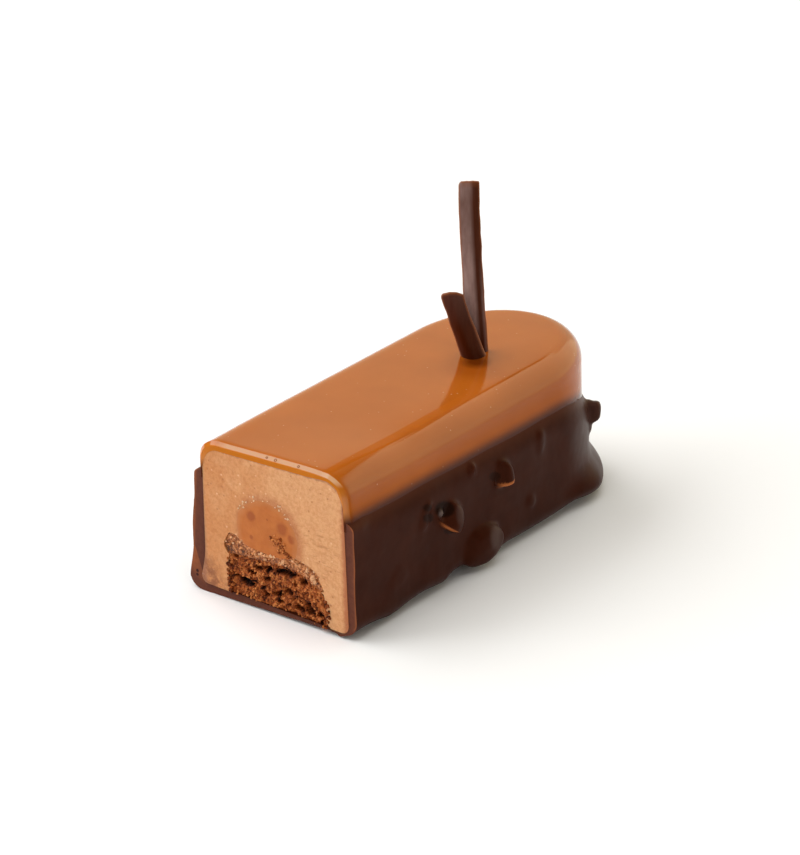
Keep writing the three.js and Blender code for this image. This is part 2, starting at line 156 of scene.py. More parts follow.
def torn_crumb(x, z):
    """The torn crumb at a point of the cut: how far it stands back, in millimetres, and its tone, darkened in
    the holes as painted shade.
    """
    spot = Vector((x, 0, z))
    spot.x += HOLE_WANDER * noise.noise(Vector((x, 2, z)))
    spot.z += HOLE_WANDER * noise.noise(Vector((x, 7, z)))
    far, cells = noise.voronoi(Vector((spot.x / HOLE_SIZE[0], 0.3, spot.z / HOLE_SIZE[1])))
    hole = SMALL_HOLE * blend_in(noise.cell(cells[0] * 17), -0.1, 0.1) * (1 - blend_in(far[0], *HOLE_RIM))
    for (middle_x, middle_z), (wide, high) in VOIDS:
        off = math.hypot((spot.x - middle_x) / wide, (spot.z - middle_z) / high)
        hole = max(hole, LARGE_HOLE * (1 - blend_in(off, *VOID_RIM)))
    far, cells = noise.voronoi(spot / GRAIN_SIZE)
    round_grain = 1 - blend_in(far[0], 0, 0.75)
    own = noise.cell(cells[0] * 23)
    fine = noise.fractal(spot / FINE_SIZE, 0.9, 2.1, 3)
    swell = noise.noise(spot / SWELL_SIZE)
    back = FACE_BACK + HOLE_DEPTH * hole - GRAIN_RELIEF * round_grain * (0.7 + 0.3 * own)
    back = back - SWELL_RELIEF * swell + FINE_RELIEF * fine
    # The holes are darkened: painted shade in them.
    tone = MIDDLE_TONE + OWN_TONE * own + GRAIN_TONE * round_grain - HOLE_SHADE * hole
    return back, tone + SWELL_TONE * swell + FINE_TONE * fine


def sponge_place(across, up, inset=0, lower=0):
    """A point of the sponge's section, from shares of its width and height."""
    left, right = SPONGE_LEFT + inset, SPONGE_RIGHT - inset
    x = left + (right - left) * across
    low = SPONGE_FLOOR - lower - FLOOR_SLOPE * x
    z = low + (line_height(CRISP_UNDER, x) - low) * up
    belly = SPONGE_BELLY * math.sin(math.pi * up) * abs(2 * across - 1) ** 3
    return x + (belly if across > 0.5 else -LEFT_BELLY * belly), z


def sponge_point(x, y, z):
    """A point of the slab moved to the sponge's section, and torn if it lies in the cut."""
    across, up = x / SPONGE_WIDTH + 0.5, z / SPONGE_HEIGHT + 0.5
    x, z = sponge_place(across, up)
    if y > 1:
        return x, y, z
    inside = blend_in(min(across, 1 - across) * SPONGE_WIDTH, 0, 1.5)
    back = torn_crumb(x, z)[0]
    z += 0.4 * noise.noise(Vector((x * 1.1, 9, z * 1.1)))
    x += 0.6 * noise.noise(Vector((x * 0.7, 1, z * 0.7))) + 0.3 * noise.noise(Vector((x * 2, 5, z * 2)))
    return x, back * (0.4 + 0.6 * inside), z


def rough_ball(name, rounds, rough):
    """A small rough lump, the model for crumbs and bits of nut: a ball with its surface pushed in and out."""
    bpy.ops.object.select_all(action="DESELECT")
    bpy.ops.mesh.primitive_ico_sphere_add(subdivisions=rounds, radius=1, location=(0, 0, 0))
    ball = named(name)
    for vertex in ball.data.vertices:
        vertex.co *= 1 + rough * noise.noise(vertex.co * 1.9)
    return ball


def scattered(model, centre, size, draw, tone):
    """A copy of a lump with its own mesh, turned and stretched at random, in millimetres of the cake."""
    piece = model.copy()
    piece.data = model.data.copy()
    bpy.context.scene.collection.objects.link(piece)
    axis = Vector((draw.uniform(-1, 1), draw.uniform(-1, 1), draw.uniform(0.2, 1)))
    turn = Matrix.Rotation(draw.uniform(0, math.tau), 3, axis)
    stretch = Vector((1, draw.uniform(*LUMP_WIDTH), draw.uniform(*LUMP_HEIGHT)))
    for vertex in piece.data.vertices:
        vertex.co = place(*centre) + (turn @ (vertex.co * stretch)) * size * MM
    mark(piece, "tone", lambda x, y, z: tone)
    return piece


def joined(pieces):
    """The first piece with the others made part of it."""
    bpy.ops.object.select_all(action="DESELECT")
    for piece in pieces:
        piece.select_set(True)
    bpy.context.view_layer.objects.active = pieces[0]
    bpy.ops.object.join()
    return bpy.context.object


sponge = cut_slab("sponge", SPONGE_WIDTH, SPONGE_HEIGHT, columns=180, rows=72, length=LAYER_LENGTH)
shape(sponge, sponge_point)
mark(sponge, "tone", lambda x, y, z: torn_crumb(x, z)[1])
crumb_model = rough_ball("crumb", 2, 0.6)
crumb_draw = random.Random(4)
crumbs = []
for i in range(FACE_CRUMBS):
    x, z = sponge_place(crumb_draw.uniform(0.02, 0.98), crumb_draw.uniform(0.03, 0.97))
    back, tone = torn_crumb(x, z)
    size = crumb_draw.uniform(*FACE_CRUMB_SIZE)
    tone += crumb_draw.uniform(*FACE_CRUMB_TONE)
    crumbs.append(scattered(crumb_model, (x, back * 0.9 - 0.05, z), size, crumb_draw, tone))
for i in range(SIDE_CRUMBS):
    x, z = sponge_place(i % 2, crumb_draw.uniform(0.02, 0.85))
    x += crumb_draw.gauss(0, SIDE_CRUMB_SPREAD)
    size, tone = crumb_draw.uniform(*SIDE_CRUMB_SIZE), crumb_draw.uniform(*SIDE_CRUMB_TONE)
    crumbs.append(scattered(crumb_model, (x, 0.02, z), size, crumb_draw, tone))
for (x, z), (wide, high), count in DRAGGED:
    for i in range(count):
        spot = (crumb_draw.gauss(x, wide), -DRAGGED_AHEAD, crumb_draw.gauss(z, high))
        size, tone = crumb_draw.uniform(*DRAGGED_SIZE), crumb_draw.uniform(*DRAGGED_TONE)
        crumbs.append(scattered(crumb_model, spot, size, crumb_draw, tone))
sponge = joined([sponge, *crumbs])
bpy.data.objects.remove(crumb_model)
bpy.ops.object.shade_smooth()


def rgb(colour):
    """A colour as it is, or a grey as a colour."""
    return colour if isinstance(colour, tuple) else (colour, colour, colour)


def feed(look, socket, value):
    """Links a socket of a material to another one, or gives it a plain value."""
    if isinstance(value, bpy.types.NodeSocket):
        look.node_tree.links.new(value, socket)
    else:
        socket.default_value = (*rgb(value), 1) if socket.type == "RGBA" else value


def put(look, name, value):
    """Feeds one of the inputs of a material's shader."""
    feed(look, look.node_tree.nodes["Principled BSDF"].inputs[name], value)


def add_node(look, kind, inputs, **settings):
    """A new node of a material, with its settings and with some of its inputs fed."""
    node = look.node_tree.nodes.new("ShaderNode" + kind)
    for name, value in settings.items():
        setattr(node, name, value)
    for name, value in inputs.items():
        feed(look, node.inputs[name], value)
    return node


def finish_of(name, roughness, shine=0.5, tint=(1, 1, 1)):
    """A new material with a plain shader, ready to take the finish."""
    look = bpy.data.materials.new(name)
    look.use_nodes = True
    put(look, "Roughness", roughness)
    put(look, "Specular IOR Level", shine)
    put(look, "Specular Tint", tint)
    return look


def marked(look, name):
    """The values that were written on the piece's vertices."""
    return add_node(look, "Attribute", {}, attribute_name=name).outputs["Fac"]


def own_place(look):
    """A point of the piece in its own coordinates, in metres."""
    return add_node(look, "TexCoord", {}).outputs["Object"]


def pattern(look, kind, size, stretch=(1, 1, 1), **inputs):
    """A pattern in the piece's own coordinates, whose marks are about size millimetres across."""
    scale = [1 / (size * MM * share) for share in stretch]
    mapped = add_node(look, "Mapping", {"Vector": own_place(look), "Scale": scale}).outputs["Vector"]
    return add_node(look, kind, {"Vector": mapped, "Scale": 1, **inputs}).outputs


def grain(look, size, detail=2.0, rough=0.5, stretch=(1, 1, 1)):
    """A soft noise from 0 to 1."""
    return pattern(look, "TexNoise", size, stretch, Detail=detail, Roughness=rough)["Fac"]


def stops(look, source, *colours):
    """A colour ramp over a value: pairs of a position and a colour or grey."""
    ramp = add_node(look, "ValToRGB", {"Fac": source})
    elements = ramp.color_ramp.elements
    while len(elements) < len(colours):
        elements.new(0.5)
    for element, (position, colour) in zip(elements, colours):
        element.position = position
        element.color = (*rgb(colour), 1)
    return ramp.outputs["Color"]


def mixed(look, share, first, second, way="MIX"):
    """Two colours mixed by a share: each may be a socket or a plain value."""
    return add_node(look, "Mix", {0: share, 6: first, 7: second}, data_type="RGBA", blend_type=way).outputs[2]


def relief(look, height, distance, under=None):
    """Bump of a depth in millimetres, laid over another bump if one is given."""
    inputs = {"Strength": 1, "Distance": distance * MM, "Height": height}
    if under is not None:
        inputs["Normal"] = under
    bump = add_node(look, "Bump", inputs).outputs["Normal"]
    put(look, "Normal", bump)
    return bump


def dress(piece, *looks):
    """Gives a piece its finish, or its finishes."""
    piece.data.materials.clear()
    for look in looks:
        piece.data.materials.append(look)


crumb = finish_of("cocoa_crumb", 0.5, 0.12)
crumb_tones = stops(
    crumb,
    marked(crumb, "tone"),
    (0.1, (0.008, 0.0016, 0.0004)),
    (0.34, (0.1, 0.018, 0.003)),
    (0.58, (0.4, 0.092, 0.0165)),
    (0.92, (0.76, 0.27, 0.075)),
)
crumb_grains = stops(crumb, grain(crumb, 0.3), (0.35, (0.45, 0.42, 0.4)), (0.6, 1))
put(crumb, "Base Color", mixed(crumb, 0.8, crumb_tones, crumb_grains, "MULTIPLY"))
relief(crumb, grain(crumb, 0.25), 0.2)
dress(sponge, crumb)
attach(sponge, "root")
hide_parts("cocoa_sponge")

# Praline crisp: a crunchy layer of praline paste with flakes and chopped nuts, spread on the sponge.
# Its left rim has curled up, its right rim hangs over the sponge, and its cut face shows pale bits.
CRISP_WIDTH, CRISP_HEIGHT = 26.6, 3
CRISP_LEFT = -13.8
CRISP_TOP = [(-13.9, 14.4), (-12.4, 15.9), (-10.4, 15.7), (-7, 14.4), (0, 13.9), (5, 14.8)]
CRISP_TOP += [(9, 14.1), (11.4, 12.9), (12.9, 10.3)]
CRISP_OVERLAP = 0.3
LEFT_ROUND, RIGHT_ROUND = (-0.6, 1.6), (-0.6, 1.8)
BIT_SPACING = 1.15
SMALL_BITS = 56
BIT_SIZE, BIT_TONE, BIT_DEPTH = (0.18, 0.42), (0.25, 0.95), (0.05, 0.3)
PALE_BIT_DEPTH = 0.3
PALE_BITS = [((-3.6, 13.0), 0.6, 0.62), ((-2.6, 12.9), 0.55, 0.66), ((-1.0, 13.5), 0.6, 0.95)]
PALE_BITS += [((2.1, 12.9), 0.65, 0.7), ((4.8, 13.9), 0.6, 0.75), ((5.6, 13.5), 0.5, 0.7)]
PALE_BITS += [((6.5, 13.2), 0.5, 0.62), ((8.4, 12.8), 0.6, 0.75), ((9.9, 11.5), 0.8, 0.7)]
PALE_BITS += [((10.4, 10.8), 0.65, 0.75), ((10.1, 13.1), 0.4, 0.95)]
# The corner by the sponge and the paste just above the sponge are darkened as painted shade.
SHADOW_CORNER = (-12.7, 12.0)
PASTE_TONE, BIT_CONTRAST, PASTE_CONTRAST = 0.35, 0.3, 0.3
PASTE_BACK, BIT_RELIEF, PASTE_RELIEF, PASTE_GRAIN = 0.35, 0.55, 0.18, 0.5
RIM_SHADE, CORNER_SHADE, LOWER_SHADE, LEFT_SHADE = 0.6, 0.2, 0.06, 0.04


def crisp_place(across, up, inset=0, lower=0):
    """A point of the crisp's section: it lies between two lines, and its ends are rounded."""
    x = CRISP_LEFT + inset + (CRISP_WIDTH - 2 * inset) * across
    low = line_height(CRISP_UNDER, x) - CRISP_OVERLAP + inset - lower
    high = line_height(CRISP_TOP, x) - inset
    ends = blend_in(across * CRISP_WIDTH, *LEFT_ROUND) * blend_in((1 - across) * CRISP_WIDTH, *RIGHT_ROUND)
    return x, (low + high) / 2 + (high - low) * (up - 0.5) * ends


def bits_at(x, z):
    """The crisp's bits at a point of the cut: how far they stand back, in millimetres, and their tone."""
    spot = Vector((x, 8.3, z))
    spot.x += 0.3 * noise.noise(Vector((x * 1.4, 3, z * 1.4)))
    far, cells = noise.voronoi(spot / BIT_SPACING)
    own = noise.cell(cells[0] * 11)
    round_bit = 1 - blend_in(far[0], 0.05, 0.6)
    fine = noise.fractal(spot / PASTE_GRAIN, 0.9, 2.1, 3)
    back = PASTE_BACK - BIT_RELIEF * round_bit * (0.6 + 0.4 * own) + PASTE_RELIEF * fine
    return back, PASTE_TONE + BIT_CONTRAST * own * round_bit + PASTE_CONTRAST * fine


def crisp_point(x, y, z):
    """A point of the slab moved to the crisp's section, and broken up if it lies in the cut."""
    x, z = crisp_place(x / CRISP_WIDTH + 0.5, z / CRISP_HEIGHT + 0.5)
    if y > 1:
        return x, y, z
    return x, bits_at(x, z)[0], z + 0.25 * noise.noise(Vector((x * 1.5, 4, z * 1.5)))


def crisp_tone(x, y, z):
    """Darker along the curled rim and on the left, and painted shade in the corner by the sponge and just
    above the sponge.
    """
    rim = blend_in(z - line_height(CRISP_TOP, x), -0.55, -0.1) * blend_in(-x, 3, 6)
    corner = 1 - blend_in(math.hypot(x - SHADOW_CORNER[0], z - SHADOW_CORNER[1]), 0.6, 1.8)
    lower = 1 - blend_in(z - line_height(CRISP_UNDER, x), 0, 0.9)
    shade = RIM_SHADE * rim + CORNER_SHADE * corner + LOWER_SHADE * lower + LEFT_SHADE * blend_in(-x, -2, 5)
    return bits_at(x, z)[1] - shade


crisp = cut_slab("crisp", CRISP_WIDTH, CRISP_HEIGHT, columns=190, rows=30, length=LAYER_LENGTH)
shape(crisp, crisp_point)
mark(crisp, "tone", crisp_tone)
bit_model = rough_ball("bit", 3, 0.45)
bit_draw = random.Random(21)
bits = []
for i in range(SMALL_BITS):
    x, z = crisp_place((i + bit_draw.uniform(0.1, 0.9)) / SMALL_BITS, bit_draw.uniform(0.15, 0.95))
    size, tone = bit_draw.uniform(*BIT_SIZE), bit_draw.uniform(*BIT_TONE)
    bits.append(scattered(bit_model, (x, bit_draw.uniform(*BIT_DEPTH), z), size, bit_draw, tone))
for (x, z), size, tone in PALE_BITS:
    bits.append(scattered(bit_model, (x, PALE_BIT_DEPTH, z), size, bit_draw, tone))
crisp = joined([crisp, *bits])
bpy.data.objects.remove(bit_model)
bpy.ops.object.shade_smooth()

paste = finish_of("praline_paste", 0.36, 0.3, (1, 0.85, 0.7))
crisp_tones = stops(
    paste,
    marked(paste, "tone"),
    (0.0, (0.07, 0.02, 0.008)),
    (0.24, (0.34, 0.1, 0.03)),
    (0.5, (0.76, 0.31, 0.113)),
    (1.0, (0.88, 0.57, 0.33)),
)
crisp_specks = stops(paste, grain(paste, 0.4, 3), (0.36, (0.45, 0.4, 0.38)), (0.56, 1))
put(paste, "Base Color", mixed(paste, 0.8, crisp_tones, crisp_specks, "MULTIPLY"))
relief(paste, grain(paste, 0.3), 0.12)
dress(crisp, paste)
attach(crisp, "root")
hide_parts("praline_crisp")

# Caramel core: a rod of soft caramel, cast on its own and laid on the crisp before the mousse went in.
# The knife leaves it smooth and a little domed, with some darker round spots where the caramel is denser.
CARAMEL_RADIUS = 8.0
CARAMEL_AT = (-1.9, 17.4)
CARAMEL_STEPS = 128
CARAMEL_SUNK = 0.5
CARAMEL_WAVES = [(0.015, 3, 0), (0.012, 7, 1), (0.008, 17, 0)]
CARAMEL_DOME = ((0.25, 0.04), (0.6, 0.03), (1.2, 0.02), (2.0, 0.01), (2.0, 0.01))
CARAMEL_SPOTS = [((-5.9, 21.1), 1.45), ((2.3, 20.4), 1.75), ((-6.0, 16.3), 0.6), ((4.6, 18.7), 1.2)]
CARAMEL_SPOTS += [((-1.6, 21.5), 0.35)]


def select(piece, kind, wanted):
    """In edit mode, selects only the piece's vertices, edges or faces that are wanted."""
    bpy.context.tool_settings.mesh_select_mode = (kind == "VERT", kind == "EDGE", kind == "FACE")
    bpy.ops.mesh.select_all(action="DESELECT")
    mesh = bmesh.from_edit_mesh(piece.data)
    for element in {"VERT": mesh.verts, "EDGE": mesh.edges, "FACE": mesh.faces}[kind]:
        if wanted(element):
            element.select_set(True)
    mesh.select_flush_mode()
    bmesh.update_edit_mesh(piece.data)


def on_the_crisp(x, y, z):
    """The rod has settled: it is a little uneven, and flat where it lies on the crisp."""
    angle = math.atan2(z - CARAMEL_AT[1], x - CARAMEL_AT[0])
    swell = 1
    for size, count, start in CARAMEL_WAVES:
        swell += size * math.sin(count * angle + start)
    x = CARAMEL_AT[0] + (x - CARAMEL_AT[0]) * swell
    z = CARAMEL_AT[1] + (z - CARAMEL_AT[1]) * swell
    return x, y, max(z, line_height(CRISP_TOP, x) - CARAMEL_SUNK)


bpy.ops.object.select_all(action="DESELECT")
bpy.ops.mesh.primitive_circle_add(
    vertices=CARAMEL_STEPS,
    radius=CARAMEL_RADIUS * MM,
    fill_type="NGON",
    location=place(CARAMEL_AT[0], 0, CARAMEL_AT[1]),
    rotation=(math.pi / 2, 0, 0),
)
caramel = named("caramel")
bpy.ops.object.mode_set(mode="EDIT")
bpy.ops.mesh.select_all(action="SELECT")
bpy.ops.mesh.extrude_region_move(TRANSFORM_OT_translate={"value": (0, LAYER_LENGTH * MM, 0)})
bpy.ops.mesh.select_all(action="SELECT")
bpy.ops.mesh.normals_make_consistent(inside=False)
select(caramel, "FACE", lambda face: face.normal.y < -0.9)
for thickness, depth in CARAMEL_DOME:
    bpy.ops.mesh.inset(thickness=thickness * MM, depth=depth * MM)
bpy.ops.object.mode_set(mode="OBJECT")
shape(caramel, on_the_crisp)


def near_spot(look, spot, radius, wobble, deep=1000):
    """How near a point is to the middle of a round spot: 0 there and 1 at its wavy edge.
    The spot runs through the whole cake, unless its depth is given."""
    stirring = pattern(look, "TexNoise", 1.6, Detail=2, Roughness=0.5)["Color"]
    inputs = {0: stirring, 1: (wobble * MM, wobble * MM, wobble * MM), 2: own_place(look)}
    stirred = add_node(look, "VectorMath", inputs, operation="MULTIPLY_ADD").outputs["Vector"]
    middle = place(*spot) + Vector((0.5, 0, 0.5)) * wobble * MM
    inputs = {"Vector": stirred, "Location": middle, "Scale": (radius * MM, deep * MM, radius * MM)}
    centred = add_node(look, "Mapping", inputs, vector_type="TEXTURE").outputs["Vector"]
    return add_node(look, "VectorMath", {0: centred}, operation="LENGTH").outputs["Value"]


def translucent(look, weight, radius, depth):
    """Lets some light into the piece, to a depth in millimetres."""
    put(look, "Subsurface Weight", weight)
    put(look, "Subsurface Radius", radius)
    put(look, "Subsurface Scale", depth * MM)


toffee = finish_of("soft_caramel", 0.5, 0.2)
swirls = grain(toffee, 2.4, 4, 0.6)
caramel_colour = stops(toffee, swirls, (0.3, (0.42, 0.114, 0.019)), (0.7, (0.49, 0.146, 0.028)))
for (x, z), radius in CARAMEL_SPOTS:
    inside = stops(toffee, near_spot(toffee, (x, 0, z), radius, 0.8), (0.55, 0.75), (1.05, 0))
    caramel_colour = mixed(toffee, inside, caramel_colour, (0.3, 0.066, 0.012))
to_edge = near_spot(toffee, (CARAMEL_AT[0], 0, CARAMEL_AT[1]), CARAMEL_RADIUS, 1.2)
blurred_edge = stops(toffee, to_edge, (0.82, 0), (1.0, 0.6))
put(toffee, "Base Color", mixed(toffee, blurred_edge, caramel_colour, (0.5, 0.19, 0.066)))
translucent(toffee, 0.2, (1.0, 0.45, 0.15), 1.0)
smears = relief(toffee, grain(toffee, 1.5, 3, 0.5, (2.5, 1, 1)), 0.12)
relief(toffee, grain(toffee, 0.3), 0.05, smears)
dress(caramel, toffee)
bpy.ops.object.shade_smooth_by_angle(angle=math.radians(40))
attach(caramel, "root")
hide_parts("caramel_core")

# Mousse: the bar itself, an airy caramel mousse set round its fillings in a mould with a rounded end.
# It is cut flat at the front, where fine pores, the knife's drag lines and beads of air round the
# caramel show.
END_DEPTH, END_SHARE = 24.0, 0.9995
CLOSE, MERGED = 0.01, 0.02
MOUSSE_HALF_WIDTH = 18.7
MOUSSE_TOP = 34.2
MOUSSE_TIP = 93.0
MOUSSE_FLOOR = 1.4
MOUSSE_SHOULDER, MOUSSE_ROUND = 4.2, 1.8
MOUSSE_LEVELS = (4.5, 6, 8, 10, 14, 18, 24)
MOUSSE_LENGTHS = (1, 2, 3, 4, 6, 20, 40, 60)
MOUSSE_LEAN = 0.5
FOOT_FLARE = 1.5
FOOT_HEIGHT = 10
FLOOR_UNDERCUT, UNDERCUT_HEIGHT = 3.2, 9
UNDERCUT_EDGE = (MOUSSE_HALF_WIDTH - 4, MOUSSE_HALF_WIDTH - 1)
UNDERCUT_LENGTHS = (0.5, 4)
CORNER_AT = 8
CORNER_LIFT = 1.5
FRONT_RISE = 0.85
RISE_REACH = 12
RISE_LENGTH, RISE_HEIGHTS = 26, (26, 31)
MOUSSE_SHIFT = 0.5
SHIFT_LENGTH, SHIFT_SIDE, SHIFT_HEIGHTS = 30, (10, 16), (28, 32)
TUNNEL_AHEAD = 3
TUNNEL_INSET, CARAMEL_INSET = 0.12, 0.05
AIR_BEADS = 26
BEAD_SIZE, BEAD_REACH = (0.12, 0.3), (-0.3, 0.9)
BEAD_ANGLES = ((35, 75), (75, 150))
RIM_ROUND = 4.6
RIM_TOP = 34.0
RIM_TILT = 0.03
CHOCOLATE_SMEARS = [((-19.2, 4.5), 5.5), ((-16, 2), 4)]


def bar_block(name, half_width, bottom, top, front, tip, end_steps):
    """A bar with a flat front and a rounded far end: a block with its two far upright edges rounded over."""
    bpy.ops.object.select_all(action="DESELECT")
    straight = tip - END_DEPTH
    back = straight + half_width
    bpy.ops.mesh.primitive_cube_add(size=1, location=place(0, (front + back) / 2, (bottom + top) / 2))
    bpy.context.object.scale = (2 * half_width * MM, (back - front) * MM, (top - bottom) * MM)
    piece = named(name)
    bpy.ops.object.mode_set(mode="EDIT")
    far = place(0, back - CLOSE, 0).y
    select(
        piece,
        "EDGE",
        lambda edge: min(v.co.y for v in edge.verts) > far
        and abs(edge.verts[0].co.z - edge.verts[1].co.z) > MM,
    )
    bpy.ops.mesh.bevel(offset=half_width * MM * END_SHARE, segments=end_steps, affect="EDGES")
    begins = place(0, straight + 0.001, 0).y
    select(piece, "VERT", lambda vertex: vertex.co.y > begins)
    bpy.ops.transform.resize(value=(1, END_DEPTH / half_width, 1), center_override=place(0, straight, 0))
    bpy.ops.mesh.select_all(action="SELECT")
    bpy.ops.mesh.remove_doubles(threshold=MERGED * MM)
    bpy.ops.mesh.normals_make_consistent(inside=False)
    bpy.ops.object.mode_set(mode="OBJECT")
    return piece


def round_over(piece, height, radius, steps, front):
    """Rounds the bar's upper or lower edge all the way round, except at its cut front."""
    bpy.ops.object.mode_set(mode="EDIT")
    level, cut = height * MM, place(0, front + CLOSE, 0).y
    select(
        piece,
        "EDGE",
        lambda edge: all(abs(v.co.z - level) < CLOSE * MM for v in edge.verts)
        and any(v.co.y > cut for v in edge.verts)
        and len({round(face.normal.z, 3) for face in edge.link_faces}) > 1,
    )
    bpy.ops.mesh.bevel(offset=radius * MM, segments=steps, affect="EDGES")
    bpy.ops.object.mode_set(mode="OBJECT")


def slice_up(piece, axis, steps):
    """Cuts new edges across the piece at steps along an axis, in millimetres, to shape it there."""
    bpy.ops.object.mode_set(mode="EDIT")
    for step in steps:
        bpy.ops.mesh.select_all(action="SELECT")
        bpy.ops.mesh.bisect(plane_co=place(*(step * part for part in axis)), plane_no=axis)
    bpy.ops.object.mode_set(mode="OBJECT")


def floor_tilt(x):
    """How far the bar's floor lies lower on the right: not at the right corner, which has curled up."""
    return FLOOR_SLOPE * (x - CORNER_LIFT * max(0, x - CORNER_AT))


def front_rise(x, y):
    """How far the knife has drawn the bar's top up at the cut: nothing on the left, most on the right."""
    to_right = min(1, max(0, (x + RISE_REACH) / (2 * RISE_REACH)))
    return FRONT_RISE * to_right * (1 - blend_in(y, 0, RISE_LENGTH))


def settled(x, y, z):
    """The bar has slumped a little: its foot spreads on the left, its floor lies lower on the right,
    behind the cut its lower edge is drawn up, and at the cut its top is."""
    low = 1 - blend_in(z, 0, FOOT_HEIGHT)
    left = blend_in(-x, 0, MOUSSE_HALF_WIDTH)
    tilt = floor_tilt(x) * (1 - blend_in(z, 0, MOUSSE_TOP / 2))
    lean = MOUSSE_LEAN * (0.5 - z / MOUSSE_TOP) * x / MOUSSE_HALF_WIDTH
    round_end = max(0, y - (MOUSSE_TIP - END_DEPTH)) * MOUSSE_HALF_WIDTH / END_DEPTH
    outer = blend_in(math.hypot(x, round_end), *UNDERCUT_EDGE)
    low_edge = 1 - blend_in(z, MOUSSE_FLOOR, UNDERCUT_HEIGHT)
    drawn_up = FLOOR_UNDERCUT * outer * blend_in(y, *UNDERCUT_LENGTHS) * low_edge
    raised = front_rise(x, y) * blend_in(z, *RISE_HEIGHTS)
    at_cut = 1 - blend_in(y, 0, SHIFT_LENGTH)
    drawn_in = MOUSSE_SHIFT * blend_in(x, *SHIFT_SIDE) * blend_in(z, *SHIFT_HEIGHTS) * at_cut
    return x - FOOT_FLARE * low * left + lean - drawn_in, y, z - tilt + drawn_up + raised


def settled_bar(name, half_width, top, front, tip):
    """The mousse's form, at its own size or as a cutter."""
    piece = bar_block(name, half_width, MOUSSE_FLOOR, top, front, tip, 32)
    if top == MOUSSE_TOP:
        round_over(piece, top, MOUSSE_SHOULDER, 8, front)
    round_over(piece, MOUSSE_FLOOR, MOUSSE_ROUND, 4, front)
    slice_up(piece, (0, 0, 1), MOUSSE_LEVELS)
    slice_up(piece, (0, 1, 0), MOUSSE_LENGTHS)
    shape(piece, settled)
    return piece


def apply_modifier(piece, kind, **settings):
    """Adds a modifier to the piece and applies it at once."""
    bpy.ops.object.select_all(action="DESELECT")
    piece.select_set(True)
    bpy.context.view_layer.objects.active = piece
    added = piece.modifiers.new(kind.lower(), kind)
    for key, value in settings.items():
        setattr(added, key, value)
    bpy.ops.object.modifier_apply(modifier=added.name)


def cut_away(piece, cutter):
    """Cuts one piece with another, and removes the cutter."""
    apply_modifier(piece, "BOOLEAN", operation="DIFFERENCE", object=cutter, solver="EXACT")
    bpy.data.meshes.remove(cutter.data)


def tunnel_for(section, lower, columns, rows):
    """A cutter with a layer's section, a little smaller and lower, that comes out through the cut front."""
    cutter = cut_slab("tunnel", 1, 1, columns, rows, LAYER_LENGTH + TUNNEL_AHEAD)

    def moved(x, y, z):
        x, z = section(x + 0.5, z + 0.5, TUNNEL_INSET, lower)
        return x, y - TUNNEL_AHEAD, z

    shape(cutter, moved)
    return cutter


mousse = settled_bar("mousse_bar", MOUSSE_HALF_WIDTH, MOUSSE_TOP, 0, MOUSSE_TIP)
cut_away(mousse, tunnel_for(sponge_place, lower=1.5, columns=40, rows=12))
cut_away(mousse, tunnel_for(crisp_place, lower=0.6, columns=60, rows=6))
bpy.ops.object.select_all(action="DESELECT")
bpy.ops.mesh.primitive_cylinder_add(
    vertices=CARAMEL_STEPS,
    radius=(CARAMEL_RADIUS - CARAMEL_INSET) * MM,
    depth=(LAYER_LENGTH + TUNNEL_AHEAD) * MM,
    location=place(CARAMEL_AT[0], (LAYER_LENGTH - TUNNEL_AHEAD) / 2, CARAMEL_AT[1]),
    rotation=(math.pi / 2, 0, 0),
)
tunnel = named("tunnel")
shape(tunnel, on_the_crisp)
cut_away(mousse, tunnel)
bpy.ops.object.shade_smooth_by_angle(angle=math.radians(35))

bead_model = rough_ball("bead", 2, 0.1)
bead_draw = random.Random(8)
beads = []
for i in range(AIR_BEADS):
    angle = math.radians(bead_draw.choice([bead_draw.uniform(*span) for span in BEAD_ANGLES]))
    reach = CARAMEL_RADIUS + bead_draw.uniform(*BEAD_REACH)
    x, z = CARAMEL_AT[0] + reach * math.cos(angle), CARAMEL_AT[1] + reach * math.sin(angle)
    beads.append(scattered(bead_model, (x, 0.02, z), bead_draw.uniform(*BEAD_SIZE), bead_draw, 1))
for bead in beads:
    bead.data.shade_smooth()
mark(mousse, "tone", lambda x, y, z: 0)
mousse = joined([mousse, *beads])
bpy.data.objects.remove(bead_model)


def times(look, first, second):
    """Two values or colours multiplied."""
    return mixed(look, 1.0, first, second, "MULTIPLY")


def along(look, axis):
    """The piece's own coordinate along one axis, in metres."""
    return add_node(look, "SeparateXYZ", {"Vector": own_place(look)}).outputs[axis]


def calculated(look, operation, *values):
    """A sum done on values or plain numbers, at each point of the piece."""
    return add_node(look, "Math", dict(enumerate(values)), operation=operation).outputs[0]


def spread(look, source, low, high, way="SMOOTHSTEP"):
    """A value stretched so that low becomes 0 and high becomes 1."""
    inputs = {"Value": source, "From Min": low, "From Max": high}
    return add_node(look, "MapRange", inputs, interpolation_type=way).outputs["Result"]


def fade(look, axis, low, high, way="SMOOTHSTEP", source=None):
    """0 at low and 1 at high, in millimetres of the cake along an axis, or of a length measured like it."""
    ends = [place(end, end, end)["XYZ".index(axis)] for end in (low, high)]
    return spread(look, along(look, axis) if source is None else source, *ends, way)


def beyond(look, value, start):
    """How far a length, on either side of 0, goes beyond a start in millimetres."""
    past = calculated(look, "SUBTRACT", calculated(look, "ABSOLUTE", value), start * MM)
    return calculated(look, "MAXIMUM", past, 0)


